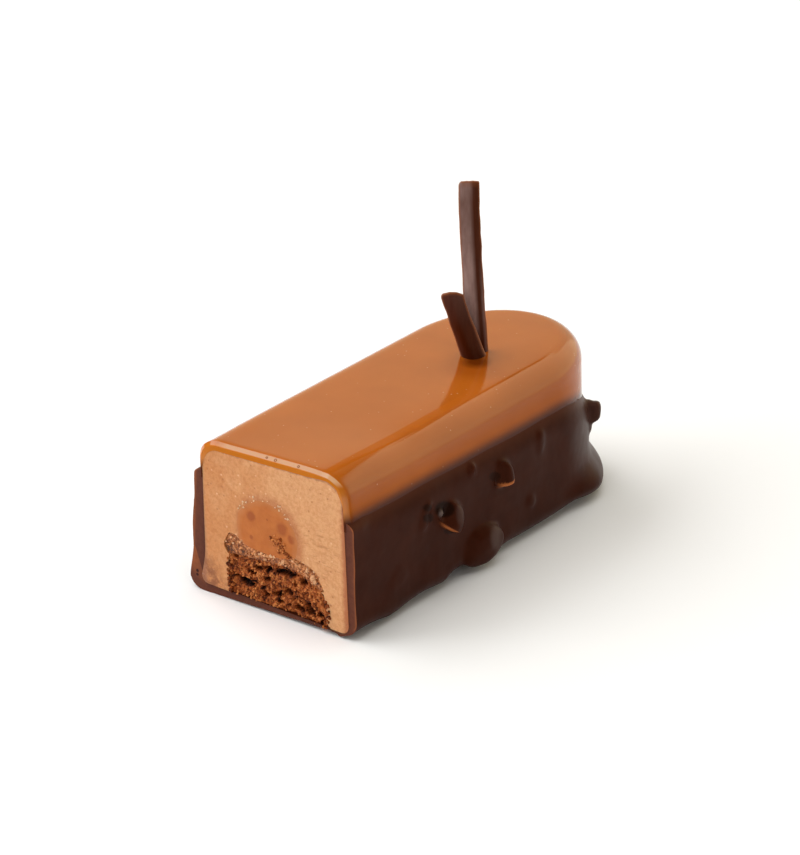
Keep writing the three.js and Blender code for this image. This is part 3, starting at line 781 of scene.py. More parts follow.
foam = finish_of("caramel_mousse", 0.6, 0.3)
across_cut = calculated(foam, "MULTIPLY_ADD", grain(foam, 5, 3, 0.6), 40 * MM, along(foam, "X"))
mousse_colour = stops(
    foam,
    spread(foam, across_cut, 2 * MM, 34 * MM),
    (0.0, (0.59, 0.25, 0.088)),
    (0.5, (0.66, 0.33, 0.145)),
    (1.0, (0.67, 0.34, 0.152)),
)
round_core = near_spot(foam, (CARAMEL_AT[0] + 0.6, 0, CARAMEL_AT[1] + 0.5), 10.5, 2.2)
halo = stops(foam, round_core, (0.74, 0.9), (0.84, 0.45), (0.94, 0))
mousse_colour = mixed(foam, halo, mousse_colour, (0.48, 0.175, 0.06))
mottle = stops(foam, grain(foam, 0.7, 3, 0.7), (0.36, (0.84, 0.73, 0.62)), (0.6, 1))
mousse_colour = mixed(foam, 0.8, mousse_colour, mottle, "MULTIPLY")
pores = pattern(foam, "TexVoronoi", 1.5)
open_pores = stops(foam, pores["Distance"], (0.08, 1), (0.2, 0))
pits = times(foam, open_pores, stops(foam, pores["Color"], (0.5, 0), (0.55, 0.8)))
# The pits are darkened: painted shade in the pores.
mousse_colour = mixed(foam, pits, mousse_colour, (0.46, 0.17, 0.055))
# Some pores are painted pale: painted highlights, standing for glints of light.
painted_glints = times(foam, open_pores, stops(foam, pores["Color"], (0.2, 0.6), (0.24, 0)))
mousse_colour = mixed(foam, painted_glints, mousse_colour, (0.82, 0.53, 0.32))
drag_lines = grain(foam, 0.55, 3, 0.6, (5, 1, 1))
dragged_area = stops(foam, near_spot(foam, (11.5, 0, 18), 8, 1), (0.5, 0.55), (1, 0.1))
drags = times(foam, stops(foam, drag_lines, (0.34, 1), (0.42, 0)), dragged_area)
mousse_colour = mixed(foam, drags, mousse_colour, (0.42, 0.165, 0.055))
# The beads of air are painted pale, partly their own colour and partly a painted highlight, and are glossy.
mousse_colour = mixed(foam, marked(foam, "tone"), mousse_colour, (0.75, 0.5, 0.31))
edge_noise = grain(foam, 1.3, 4, 0.65)
level = calculated(foam, "MULTIPLY_ADD", along(foam, "X"), -RIM_TILT, along(foam, "Z"))
past_corner = {
    "X": beyond(foam, along(foam, "X"), MOUSSE_HALF_WIDTH - RIM_ROUND),
    "Z": beyond(foam, level, RIM_TOP - RIM_ROUND),
}
to_corner = add_node(foam, "CombineXYZ", past_corner).outputs["Vector"]
from_corner = add_node(foam, "VectorMath", {0: to_corner}, operation="LENGTH").outputs["Value"]
# Along the top corners, next to the glaze, the mousse is darkened: painted shade under the glaze's rim.
rim_way = calculated(foam, "MULTIPLY_ADD", edge_noise, 1.0 * MM, from_corner)
rim = spread(foam, rim_way, RIM_ROUND * MM, (RIM_ROUND + 0.45) * MM)
glaze_edge_shade = times(foam, stops(foam, fade(foam, "Z", 18, 27), (0, 0), (1, 0.75)), rim)
mousse_colour = mixed(foam, glaze_edge_shade, mousse_colour, (0.33, 0.12, 0.05))
under_coat = fade(foam, "Z", 31, 26)
uneven_way = calculated(foam, "MULTIPLY_ADD", edge_noise, 1.4 * MM, along(foam, "X"))
for inner, outer, stain in ((17.8, 19.2, (0.42, 0.135, 0.048)), (-17.2, -18.6, (0.36, 0.15, 0.075))):
    stained = times(foam, fade(foam, "X", inner, outer, source=uneven_way), under_coat)
    mousse_colour = mixed(foam, stained, mousse_colour, stain)
smear_spots = stops(foam, grain(foam, 2.2, 4, 0.7), (0.4, 0), (0.56, 0.9))
for (x, z), reach in CHOCOLATE_SMEARS:
    smear_at = stops(foam, near_spot(foam, (x, 0, z), reach, 3), (0.3, 1), (0.95, 0))
    mousse_colour = mixed(foam, times(foam, smear_at, smear_spots), mousse_colour, (0.26, 0.088, 0.033))
put(foam, "Base Color", mousse_colour)
put(foam, "Roughness", stops(foam, marked(foam, "tone"), (0, 0.6), (1, 0.15)))
translucent(foam, 0.3, (1.0, 0.55, 0.3), 1.0)
dragged = relief(foam, drag_lines, 0.05)
pitted = relief(foam, pits, -0.15, dragged)
relief(foam, grain(foam, 0.6, 3, 0.6), 0.1, pitted)
dress(mousse, foam)
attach(mousse, "root")
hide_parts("mousse")

# Caramel glaze: a shiny skin poured over the frozen bar, thickest on the top.
# The warm knife has rounded its cut edge, and a few fine bubbles are caught in it.
GLAZE_HALF_WIDTH = 19.75
GLAZE_TOP = 35.6
GLAZE_TIP = 94.0
GLAZE_STRAIGHT = GLAZE_TIP - END_DEPTH
GLAZE_SHOULDER = 5.4
GLAZE_THICKNESS, GLAZE_SIDE = 2.1, 1.15
GLAZE_LIP = 0.78
GLAZE_CROWN, LEFT_CROWN, CROWN_FLAT = 0.0035, 0.25, 6
GLAZE_AHEAD = 0.06
GLAZE_FOOT, GLAZE_WALL_TOP = 12.0, 29.5
GLAZE_TUCK, CUT_TUCK, TUCK_LENGTHS = 1.3, 2.3, (1, 5)
GLAZE_LENGTHS = (1, 2, 3, 4, 6, 8, 12, 16, 18, 22, 24, 28, *range(5, 70, 5))
GLAZE_WIDTHS = (-13, -11, -9, -7, -5, 5, 7, 9, 11, 13)
GLAZE_LEVELS = (13, 14, 15, 16, 17, 19, 21, 23, 26, 29)
FRONT_SAG, SAG_LENGTH = 0.2, 16
WALL_SHIFT, SHOULDER_SHIFT = 0.25, 0.35
WALL_HEIGHTS, SHOULDER_HEIGHTS = (22, 28), (29, 33)
LIP_THINNER, CORNER_THINNER, THINNER_LENGTHS = 0.2, 0.45, (2, 8)
THIN_SIDE, THIN_SIDE_HEIGHTS = (8, 14), (28, 32.5)
THIN_CORNER, THIN_CORNER_HEIGHTS, THIN_LIP_HEIGHTS = (9, 14), (27, 30), (31, 33)
LIP_BUBBLES = [(-1.3, 0.4), (1.0, 0.55), (7.0, 0.45)]
BUBBLE_EDGE = 0.09
DIP_HEIGHT, DIP_CROSS, DIP_FALL, DIP_END = 26.8, 1.8, 1.15, 5.1
STREAK_TOP, STREAK_LOW, STREAK_LOW_AT_CUT = 12.6, 14.6, 16.9
STREAK_NARROWS = 24
STREAK_RISE = 0.5
STREAK_FADES = (60, 36)
# Painted shadow of the strips on the glaze round their feet: the place, the radius, the colour it multiplies
# by and how much it dulls the shine.
STRIP_SHADOWS = [((4.8, 62.1, 35), 4.0, (0.37, 0.3, 0.26), 0.3), ((6.0, 59.0, 35), 8, (0.82, 0.76, 0.7), 0.9)]
DIP_COLOUR = (0.075, 0.019, 0.009)


def dip_height(x, y):
    """Height of the chocolate's edge: higher on the left, and falling away round the far end."""
    left = blend_in(-x, -GLAZE_HALF_WIDTH, GLAZE_HALF_WIDTH)
    falls = DIP_FALL * blend_in(y, 0, GLAZE_STRAIGHT)
    return DIP_HEIGHT + DIP_CROSS * left - falls - DIP_END * blend_in(y, GLAZE_STRAIGHT, GLAZE_TIP)


def to_the_dip(x, y, z):
    """The glaze's wall drawn up, so that its lower edge runs just below the chocolate's edge."""
    at_cut = 1 - blend_in(y, 0, SHIFT_LENGTH)
    shift = WALL_SHIFT * blend_in(z, *WALL_HEIGHTS) + SHOULDER_SHIFT * blend_in(z, *SHOULDER_HEIGHTS)
    x -= at_cut * blend_in(x, *SHIFT_SIDE) * shift
    if z > GLAZE_WALL_TOP:
        drop = GLAZE_CROWN * max(0, abs(x) - CROWN_FLAT) ** 2 * (1 if x > 0 else LEFT_CROWN)
        drop += FRONT_SAG * (1 - blend_in(y, 0, SAG_LENGTH))
        upper = blend_in(z, GLAZE_WALL_TOP, GLAZE_TOP - 2)
        return x, y, z - drop * blend_in(z, GLAZE_TOP - 3, GLAZE_TOP) + front_rise(x, y) * upper
    foot = dip_height(x, y) - GLAZE_TUCK - (CUT_TUCK - GLAZE_TUCK) * (1 - blend_in(y, *TUCK_LENGTHS))
    share = (z - GLAZE_FOOT) / (GLAZE_WALL_TOP - GLAZE_FOOT)
    return x, y, foot + (GLAZE_WALL_TOP - foot) * share


glaze = bar_block("glaze", GLAZE_HALF_WIDTH, GLAZE_FOOT, GLAZE_TOP, -GLAZE_AHEAD, GLAZE_TIP, 48)
round_over(glaze, GLAZE_TOP, GLAZE_SHOULDER, 16, -GLAZE_AHEAD)
bpy.ops.object.mode_set(mode="EDIT")
select(glaze, "FACE", lambda face: face.normal.y < -0.99 or face.normal.z < -0.99)
bpy.ops.mesh.delete(type="FACE")
bpy.ops.object.mode_set(mode="OBJECT")
slice_up(glaze, (0, 1, 0), GLAZE_LENGTHS)
slice_up(glaze, (1, 0, 0), GLAZE_WIDTHS)
slice_up(glaze, (0, 0, 1), GLAZE_LEVELS)
shape(glaze, to_the_dip)
outside = len(glaze.data.vertices)
apply_modifier(glaze, "SOLIDIFY", thickness=GLAZE_THICKNESS * MM, offset=-1, use_even_offset=True)
for vertex in glaze.data.vertices[outside:]:
    x, y, z = measured(vertex.co)
    thinner = (GLAZE_THICKNESS - GLAZE_SIDE) * (1 - blend_in(z, *THIN_SIDE_HEIGHTS))
    thinner *= blend_in(abs(x), *THIN_SIDE)
    at_cut = 1 - blend_in(y, *THINNER_LENGTHS)
    corner = CORNER_THINNER * at_cut * blend_in(x, *THIN_CORNER) * blend_in(z, *THIN_CORNER_HEIGHTS)
    thin_top = LIP_THINNER * at_cut * blend_in(z, *THIN_LIP_HEIGHTS)
    vertex.co = place(math.copysign(abs(x) + thinner, x) + corner, y, z + corner + thin_top)
front = place(0, 0.02 - GLAZE_AHEAD, 0).y
heart = place(0, 0, 20)


def outer_lip(edge):
    """An edge of the glaze's cut rim, on its outer side."""
    if any(v.co.y > front for v in edge.verts):
        return False
    middle = (edge.verts[0].co + edge.verts[1].co) / 2
    walls = [face for face in edge.link_faces if abs(face.normal.y) < 0.5]
    return len(walls) == 1 and walls[0].normal.dot(middle - heart) > 0


bpy.ops.object.mode_set(mode="EDIT")
select(glaze, "EDGE", outer_lip)
bpy.ops.mesh.bevel(offset=GLAZE_LIP * MM, segments=1, affect="EDGES")
bpy.ops.object.mode_set(mode="OBJECT")
bpy.ops.object.shade_smooth_by_angle(angle=math.radians(40))
mark(glaze, "ring", lambda x, y, z: 0)
rings = []
on_lip = GLAZE_LIP / 2
for x, size in LIP_BUBBLES:
    bpy.ops.object.select_all(action="DESELECT")
    bpy.ops.mesh.primitive_torus_add(
        major_radius=size / 2 * MM,
        minor_radius=BUBBLE_EDGE * MM,
        major_segments=24,
        minor_segments=8,
        location=place(x, on_lip - GLAZE_AHEAD, GLAZE_TOP - FRONT_SAG + front_rise(x, 0) - on_lip),
        rotation=(math.pi / 4, 0, 0),
    )
    rings.append(named("bubble"))
    mark(rings[-1], "ring", lambda x, y, z: 1)
    bpy.ops.object.shade_smooth()
glaze = joined([glaze, *rings])
mark(glaze, "above_dip", lambda x, y, z: z - dip_height(x, y))

skin = finish_of("caramel_glaze", 0.1)
glaze_tones = stops(skin, grain(skin, 14, 3, 0.5), (0.3, (0.385, 0.09, 0.0065)), (0.7, (0.435, 0.106, 0.009)))
bubbles = pattern(skin, "TexVoronoi", 2.1)
flecks = stops(skin, bubbles["Distance"], (0.05, 0.6), (0.1, 0))
flecks = times(skin, flecks, stops(skin, bubbles["Color"], (0.45, 0), (0.55, 1)))
glaze_colour = mixed(skin, flecks, glaze_tones, (0.62, 0.33, 0.15))
rim_tone = stops(skin, fade(skin, "Z", 30, 34), (0, (0.56, 0.2, 0.055)), (1, (0.5, 0.145, 0.011)))
glaze_colour = mixed(skin, fade(skin, "Y", 1.2, 0), glaze_colour, rim_tone)
behind_cut = fade(skin, "Y", -GLAZE_AHEAD, 4 * GLAZE_LIP, "LINEAR")
on_chamfer = stops(skin, behind_cut, (0.02, 0), (0.045, 1), (0.22, 1), (0.25, 0))
lip_height = calculated(skin, "MULTIPLY_ADD", along(skin, "X"), -RIM_TILT, along(skin, "Z"))
# The chamfer of the cut rim is painted pale: a painted highlight.
lip_highlight_share = times(skin, on_chamfer, fade(skin, "Z", 33.2, 34.5, source=lip_height))
lip_highlight_share = times(skin, lip_highlight_share, fade(skin, "X", -15.0, -11.5))
to_corner = fade(skin, "X", 12.5, 15.5, "LINEAR")
painted_lip_highlight = stops(skin, to_corner, (0, (0.5, 0.225, 0.082)), (1, (0.6, 0.33, 0.165)))
glaze_colour = mixed(skin, lip_highlight_share, glaze_colour, painted_lip_highlight)
glaze_colour = mixed(skin, marked(skin, "ring"), glaze_colour, (0.33, 0.09, 0.01))
upper_shine = stops(skin, fade(skin, "Z", 28, 35), (0, 0.1), (0.35, 0.22), (0.7, 0.5))
cut_shine = stops(
    skin, behind_cut, (0.01, 0.08), (0.03, 1), (0.23, 1), (0.26, 0.1), (0.42, 0.15), (0.7, 1)
)
glaze_shine = times(skin, upper_shine, cut_shine)
off_cut = fade(skin, "Y", 0, STREAK_NARROWS, "LINEAR")
drawn_up = calculated(skin, "MULTIPLY_ADD", off_cut, STREAK_RISE * MM, along(skin, "X"))
narrowing = (STREAK_LOW_AT_CUT - STREAK_LOW) * MM
narrowed = calculated(skin, "MULTIPLY_ADD", off_cut, narrowing, along(skin, "X"))
streak = times(
    skin,
    fade(skin, "X", STREAK_TOP, STREAK_TOP + 0.5, source=drawn_up),
    fade(skin, "X", STREAK_LOW_AT_CUT + 0.3, STREAK_LOW_AT_CUT - 0.3, source=narrowed),
)
streak = times(skin, streak, fade(skin, "Y", *STREAK_FADES))
streak = times(skin, streak, spread(skin, behind_cut, 0.22, 0.26))
glaze_shine = times(skin, glaze_shine, stops(skin, streak, (0, 1), (1, 0.1)))
# Painted shadow: the glaze is darkened and dulled round the strips' feet.
for spot, radius, shade, dulled in STRIP_SHADOWS:
    near_strip = near_spot(skin, spot, radius, 0.5, radius)
    glaze_colour = times(skin, glaze_colour, stops(skin, near_strip, (0.35, shade), (1, 1)))
    glaze_shine = times(skin, glaze_shine, stops(skin, near_strip, (0.35, dulled), (1, 1)))
faded = spread(skin, marked(skin, "above_dip"), 2.6, -0.6)
put(skin, "Base Color", mixed(skin, faded, glaze_colour, DIP_COLOUR))
put(skin, "Specular IOR Level", glaze_shine)
translucent(skin, 0.12, (1.0, 0.35, 0.08), 1.2)
ripples = relief(skin, grain(skin, 11, 2, 0.4), 0.06)
relief(skin, flecks, 0.04, ripples)
dress(glaze, skin)
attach(glaze, "root")
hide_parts("caramel_glaze")

# Chocolate coat: the lower part of the bar, dipped in dark chocolate with chopped nuts, then set on its base.
# It feathers out over the glaze and bulges over the nuts. Its lower edge is rounded, and lifts here
# and there.
COAT_SIDE = 2.3
COAT_HALF_WIDTH = MOUSSE_HALF_WIDTH + COAT_SIDE
COAT_TIP = MOUSSE_TIP + COAT_SIDE
COAT_STRAIGHT = COAT_TIP - END_DEPTH
COAT_TOP = 30
COAT_LEVELS = (5, 7, 10, 13, 16, 19, 21, 22, 23, 24, 25, 26, 27, 28, 29)
COAT_AHEAD = 3.0
COAT_ROUND = 3.4
COAT_VOXEL = 0.5
COAT_CUT = 0.08
FLOOR_INSET = 2.5
COAT_EXTRA_LEFT = 1.2
COAT_TAPER, CUT_TAPER = 4.0, 0.7
COAT_CURVE, CUT_CURVE = 1.5, 3
COAT_LAP, CUT_LAP, LAP_LEAN = 1.6, 0.3, 0.45
CUT_LENGTHS = (1, 7)
COAT_WAVES, WAVES_BELOW = 0.3, (1, 7)
EDGE_BELOW, EDGE_WAVE, WAVE_TURN = 0.7, 0.1, 0.31
END_SPREAD, SPREAD_LENGTH, SPREAD_HEIGHTS = 3.2, 12, (3, 10)
LIFT_HEIGHTS = (1, 8)
HOLLOW_OVERLAP = 0.3
OPENING_AREA = 500
LIFTED = [(0, 0.9), (4, 1.3), (8, 1.0), (12.5, 0), (15, 0.1), (20, 1), (24, 1.1), (30, 0.3), (31.5, 0.5)]
LIFTED += [(33.5, 2), (38, 1.4), (44, 0.4), (49, 0.4), (51.5, 0.9), (56, 0.6), (66, 0.65), (71, 0.9)]
LIFTED += [(76, 1.5), (86, 0)]
TIP_FOOT = COAT_TIP - 0.25
TIP_HALF_WIDTH = 8
TIP_CURVE = 0.021
TIP_LIFT = 0.35


def lifted_edge(x, y):
    """How far the coat's lower edge stands off the table, in millimetres."""
    uneven = (0.35 + 0.5 * noise.noise(Vector((x * 0.1, y * 0.17, 4)))) * blend_in(y, 0, 4)
    right = blend_in(x, 0, 10)
    return max(0, uneven) * (1 - right) + line_height(LIFTED, y) * right


def dipped(x, y, z):
    """The coat's outside: it tapers up over the glaze, is thicker on the left and spreads at its foot."""
    edge = dip_height(x, y) - EDGE_BELOW + EDGE_WAVE * math.sin(y * WAVE_TURN)
    off_cut = blend_in(y, *CUT_LENGTHS)
    top = edge + CUT_LAP + (COAT_LAP - CUT_LAP) * off_cut
    if z > COAT_ROUND:
        z = COAT_ROUND + (top - COAT_ROUND) * (z - COAT_ROUND) / (COAT_TOP - COAT_ROUND)
    below = edge - z
    glaze_off = COAT_HALF_WIDTH - GLAZE_HALF_WIDTH
    taper_length = CUT_TAPER + (COAT_TAPER - CUT_TAPER) * off_cut
    curve = CUT_CURVE + (COAT_CURVE - CUT_CURVE) * off_cut
    taper = glaze_off * max(0, 1 - max(0, below) / taper_length) ** curve + LAP_LEAN * max(0, -below)
    wide = Vector((x, max(0, y - COAT_STRAIGHT) * COAT_HALF_WIDTH / END_DEPTH, 0))
    facing = wide.normalized()
    inward = COAT_HALF_WIDTH - wide.length
    foot = 1 - blend_in(z, 0, FOOT_HEIGHT)
    left = blend_in(-x, 0, COAT_HALF_WIDTH)
    at_end = blend_in(y, COAT_STRAIGHT, COAT_STRAIGHT + SPREAD_LENGTH)
    waves = COAT_WAVES * noise.noise(Vector((x * 0.12, y * 0.12, z * 0.15))) * blend_in(below, *WAVES_BELOW)
    out = waves - taper + END_SPREAD * at_end * (1 - blend_in(z, *SPREAD_HEIGHTS))
    out *= 1 - blend_in(inward, COAT_ROUND - 0.5, COAT_ROUND + 1)
    x_left = (COAT_EXTRA_LEFT * blend_in(below, 0, 18) + FOOT_FLARE * foot) * left
    lift = lifted_edge(x, y) * (1 - blend_in(z, *LIFT_HEIGHTS))
    z += lift * (1 - blend_in(inward, COAT_ROUND + 0.3, COAT_ROUND + 2))
    return x + facing.x * out - x_left, y + facing.y * out, z


coat = bar_block("coat", COAT_HALF_WIDTH, 0, COAT_TOP, -COAT_AHEAD, COAT_TIP, 40)
round_over(coat, 0, COAT_ROUND, 6, -COAT_AHEAD)
bpy.ops.object.mode_set(mode="EDIT")
select(coat, "FACE", lambda face: face.normal.z < -0.99)
bpy.ops.mesh.inset(thickness=FLOOR_INSET * MM)
bpy.ops.object.mode_set(mode="OBJECT")
slice_up(coat, (0, 1, 0), range(0, 72, 3))
slice_up(coat, (0, 0, 1), COAT_LEVELS)
shape(coat, dipped)
inner_half_width, inner_tip = MOUSSE_HALF_WIDTH - HOLLOW_OVERLAP, MOUSSE_TIP - HOLLOW_OVERLAP
cut_away(coat, settled_bar("hollow", inner_half_width, 40, -COAT_AHEAD - 2, inner_tip))

# The nuts: the side of the coat that each is on, its place along it and its height, its length, width
# and depth, its turn, and the numbers of its form
SHARDS = [("right", 29.9, 15.1, 8.0, 9.4, 2.0, -0.72, 0.55), ("right", 48.9, 17.4, 5.6, 9.0, 1.7, 0.0, 0.25)]
SCOOP_AT, SCOOP_REACH = (-0.5, 0.4), 0.55
LOWER_SHARE = 0.12
EDGE_SAG = 0.5
HIGHLIGHT_BEAD_AT = (27.7, 18.4)
LUMPS = [("right", *HIGHLIGHT_BEAD_AT, 1.6, 1.4, 1.2, 0.3, 1), ("right", 41.2, 5.3, 10.4, 8.4, 2.2, 0.1, 3, 2.4, 0.5)]
LUMPS += [("right", 23.6, 20.6, 4.6, 2.4, 0.5, 0.6, 4), ("right", 22.6, 18.0, 3.6, 3.0, 0.45, 0.4, 5)]
LUMPS += [("right", 59.0, 8.8, 3.4, 2.8, 0.45, -0.9, 6), ("right", 39.5, 23.6, 2.6, 1.6, 0.2, 1.2, 7)]
LUMPS += [("right", 62.8, 20.6, 5.5, 2.4, 0.2, 1.4, 8), ("right", 14.0, 9.0, 6.0, 5.0, 0.2, 0.4, 9)]
LUMPS += [("end", 0.72, 17.0, 4.6, 5.4, 2.5, 1.25, 10, 4.0, 0.5)]
LUMPS += [("end", 0.72, 18.7, 3.4, 4.4, 0.9, 1.25, 12), ("end", 0.72, 15.0, 5.0, 4.6, 0.6, 1.25, 13)]
HIDDEN_NUTS = [("end", along_end, (12, 17), (8, 10), 20) for along_end in (1.35, 1.95, 2.6)]
HIDDEN_NUTS += [("left", y, (14, 19), (8, 11), 30) for y in (66, 57, 50, 41, 33, 22, 13)]
HIDDEN_LENGTH, HIDDEN_OUT, HIDDEN_TURN = (5, 8), (1.2, 2.2), (-1.2, 1.2)
HIDDEN_WIDTH, HIDDEN_SUNK, HIDDEN_BOXY, HIDDEN_SKEW = (0.45, 0.8), (0.5, 1), (2, 3), (-0.5, 0.5)


def wall_frame(side, at, z, turn):
    """A place on the coat's wall, the way it faces, the way a chip there points, and the way beside that."""
    if side == "end":
        point = Vector((COAT_HALF_WIDTH * math.cos(at), COAT_STRAIGHT + END_DEPTH * math.sin(at), z))
        facing = Vector((math.cos(at) / COAT_HALF_WIDTH, math.sin(at) / END_DEPTH, 0)).normalized()
    else:
        hand = 1 if side == "right" else -1
        point = Vector((COAT_HALF_WIDTH if hand > 0 else -COAT_HALF_WIDTH - COAT_EXTRA_LEFT * 0.7, at, z))
        facing = Vector((hand, 0, 0))
    away = Vector((-facing.y, facing.x, 0))
    pointing = away * math.cos(turn) + Vector((0, 0, 1)) * math.sin(turn)
    return point, facing, pointing, facing.cross(pointing)


def ball_on_wall(wall, formed, rounds=4):
    """A fine ball whose points are moved by formed(x, y, h): along the chip, beside it and off the wall."""
    bpy.ops.object.select_all(action="DESELECT")
    bpy.ops.mesh.primitive_ico_sphere_add(subdivisions=rounds, radius=1, location=(0, 0, 0))
    ball = named("nut")
    point, facing, pointing, beside = wall
    for vertex in ball.data.vertices:
        forward, aside, off = formed(*vertex.co)
        vertex.co = place(*(point + pointing * forward + beside * aside + facing * off))
    return ball


def nut_lump(side, at, z, length, width, out, turn, seed, boxy=2.0, skew=0.0, uneven=0.12):
    """A bit of nut under the chocolate: an uneven lump, a blocky one, or one with its ridge to one side."""

    def formed(x, y, h):
        fuller = (abs(x) ** boxy + abs(y) ** boxy + abs(h) ** boxy) ** (-1 / boxy)
        fuller *= 1 + uneven * noise.noise(Vector((x + seed, y, h)) * 1.5)
        return (x * fuller + skew * max(0, h)) * length / 2, y * fuller * width / 2, h * fuller * out

    return ball_on_wall(wall_frame(side, at, z, turn), formed)


def scooped(x, y):
    """How deep a shard is hollowed at a point of it, from 0 to 1."""
    return max(0, 1 - ((x - SCOOP_AT[0]) ** 2 + (y - SCOOP_AT[1]) ** 2) / SCOOP_REACH**2)


def nut_shard(side, at, z, length, width, out, turn, hollow, rounds=4):
    """A half nut with its straight edge below: it rises from the wall to its tip, hollowed on the way."""

    def formed(x, y, h):
        rise = 0.3 + 0.7 * blend_in(x, -0.9, 0.6)
        off = (h * rise - hollow * scooped(x, y) + 0.4 * rise) * out if h > 0 else h * out
        sag = EDGE_SAG * (1 - x * x) * (1 - blend_in(y, 0, 0.5))
        return x * length / 2, y * (LOWER_SHARE if y < 0 else 1) * width / 2 - sag, off

    return ball_on_wall(wall_frame(side, at, z, turn), formed, rounds)


nuts = [nut_shard(*shard) for shard in SHARDS]
nuts += [nut_lump(*lump) for lump in LUMPS]
nut_draw = random.Random(11)
form_draw = random.Random(12)
for i, (side, at, upper, lower, seed) in enumerate(HIDDEN_NUTS):
    z = nut_draw.uniform(*upper) if i % 2 == 0 else nut_draw.uniform(*lower)
    length, out = nut_draw.uniform(*HIDDEN_LENGTH), nut_draw.uniform(*HIDDEN_OUT)
    turn = nut_draw.uniform(*HIDDEN_TURN)
    width, out = length * form_draw.uniform(*HIDDEN_WIDTH), out * form_draw.uniform(*HIDDEN_SUNK)
    boxy, skew = form_draw.uniform(*HIDDEN_BOXY), form_draw.uniform(*HIDDEN_SKEW)
    nuts.append(nut_lump(side, at, z, length, width, out, turn, seed + i, boxy, skew, 0.4))
    nuts.append(nut_lump(side, at, z, length * 1.5, width * 1.7, out * 0.4, turn, seed + i + 50, uneven=0.3))
coat = joined([coat, *nuts])
apply_modifier(coat, "REMESH", mode="VOXEL", voxel_size=COAT_VOXEL * MM)
apply_modifier(coat, "SMOOTH", factor=0.5, iterations=4)
bpy.ops.object.mode_set(mode="EDIT")
bpy.ops.mesh.select_all(action="SELECT")
bpy.ops.mesh.bisect(plane_co=place(0, COAT_CUT, 0), plane_no=(0, 1, 0), use_fill=True, clear_inner=True)
select(coat, "FACE", lambda face: abs(face.normal.y) > 0.99 and face.calc_area() > OPENING_AREA * MM * MM)
bpy.ops.mesh.delete(type="ONLY_FACE")
bpy.ops.object.mode_set(mode="OBJECT")
coat.data.materials.clear()
coat = joined([coat, *(nut_shard(*shard, rounds=5) for shard in SHARDS)])


def on_table(x, y, z):
    """Nothing reaches below the table, and the lower edge at the very tip is as round as the rest."""
    past = y + TIP_CURVE * x * x - TIP_FOOT
    if abs(x) > TIP_HALF_WIDTH or past < 0 or past > COAT_ROUND:
        return x, y, max(0, z)
    return x, y, max(z, TIP_LIFT + COAT_ROUND - math.sqrt(COAT_ROUND**2 - past**2))


shape(coat, on_table)

# The coat's finish: bare nut with a painted reflection at the shards' edges, painted shade in the hollows, a
# painted highlight and sheen on ridges and round the far corner, and a paler cut
BARE_UP = (-0.02, 0.1)
# Painted shade: ovals of the right wall darkened in the nuts' hollows, beside them and under their edges.
SHADOW_OVALS = [((29.55, 18.5), (3.7, 2.1), 1.0), ((23.8, 21.1), (1.7, 1.0), 0.8)]
SHADOW_OVALS += [((24.0, 18.7), (2.0, 1.2), 0.8), ((30.6, 13.1), (1.8, 0.8), 0.7)]
SHADOW_OVALS += [((46.6, 19.2), (2.2, 1.3), 0.7)]
# Painted sheen: the ovals and the far corner are made paler.
PAINTED_SHEEN_OVALS = [((34.5, 15.6), (1.6, 3.2), 0.25), ((46.6, 5.2), (2.6, 3.8), 0.35)]
SHADOW_EDGE, PAINTED_SHEEN_EDGE = 0.45, 1.0
OVAL_BACK, OVAL_DOWN, OVAL_LEAN = 1.24, 0.74, 0.377
END_PAINTED_SHEEN = 0.14
END_TURN = ((0.1, 0.45), (0.8, 1.5))
RIND_DEPTH = 0.55
FLOOR_RIND = 0.75
CUT_BUBBLES = [(-21.4, 4.1, 0.5), (-21.45, 3.2, 0.45)]


def on_shards(x, y, z):
    """Where a point lies on each shard: along it, beside it and off the wall, as shares of its size."""
    for side, at, height, length, width, out, turn, _ in SHARDS:
        point, facing, pointing, beside = wall_frame(side, at, height, turn)
        offset = Vector((x, y, z)) - point
        yield offset.dot(pointing) / (length / 2), offset.dot(beside) / (width / 2), offset.dot(facing) / out


def bare_and_lit_edge(x, y, z):
    """1 along the thin lower edge of a shard and up its tip, where the nut shows through the chocolate and
    warm reflected light is painted on.
    """
    shown = 0
    for (u, v, h), up in zip(on_shards(x, y, z), BARE_UP):
        if abs(u) < 1.1 and abs(v) < 0.45:
            lower = blend_in(0.1 * (1 - u * u) + v, up, up - 0.06) * blend_in(u, -0.9, -0.1)
            tip = blend_in(u, 0.72, 0.9) * (1 - blend_in(v, 0.1, 0.4))
            off_edge = (0.4 + math.sqrt(max(0.01, 1 - u * u))) * (0.3 + 0.7 * blend_in(u, -0.9, 0.6))
            shown = max(shown, max(lower, 0.8 * tip) * blend_in(h / off_edge, 0.3, 0.6))
    return shown


def inside_ovals(x, y, z, ovals, edge):
    """How far a point of the right wall lies inside one of some leaning ovals, slanted where it bulges."""
    if x < COAT_HALF_WIDTH - 1.5:
        return 0
    off = x - COAT_HALF_WIDTH
    inside = 0
    for (middle_y, middle_z), (long, high), depth in ovals:
        across, up = y + OVAL_BACK * off - middle_y, z - OVAL_DOWN * off - middle_z
        within = 1 - (across / long) ** 2 - ((up + OVAL_LEAN * across) / high) ** 2
        inside = max(inside, depth * blend_in(within, 0, edge))
    return inside


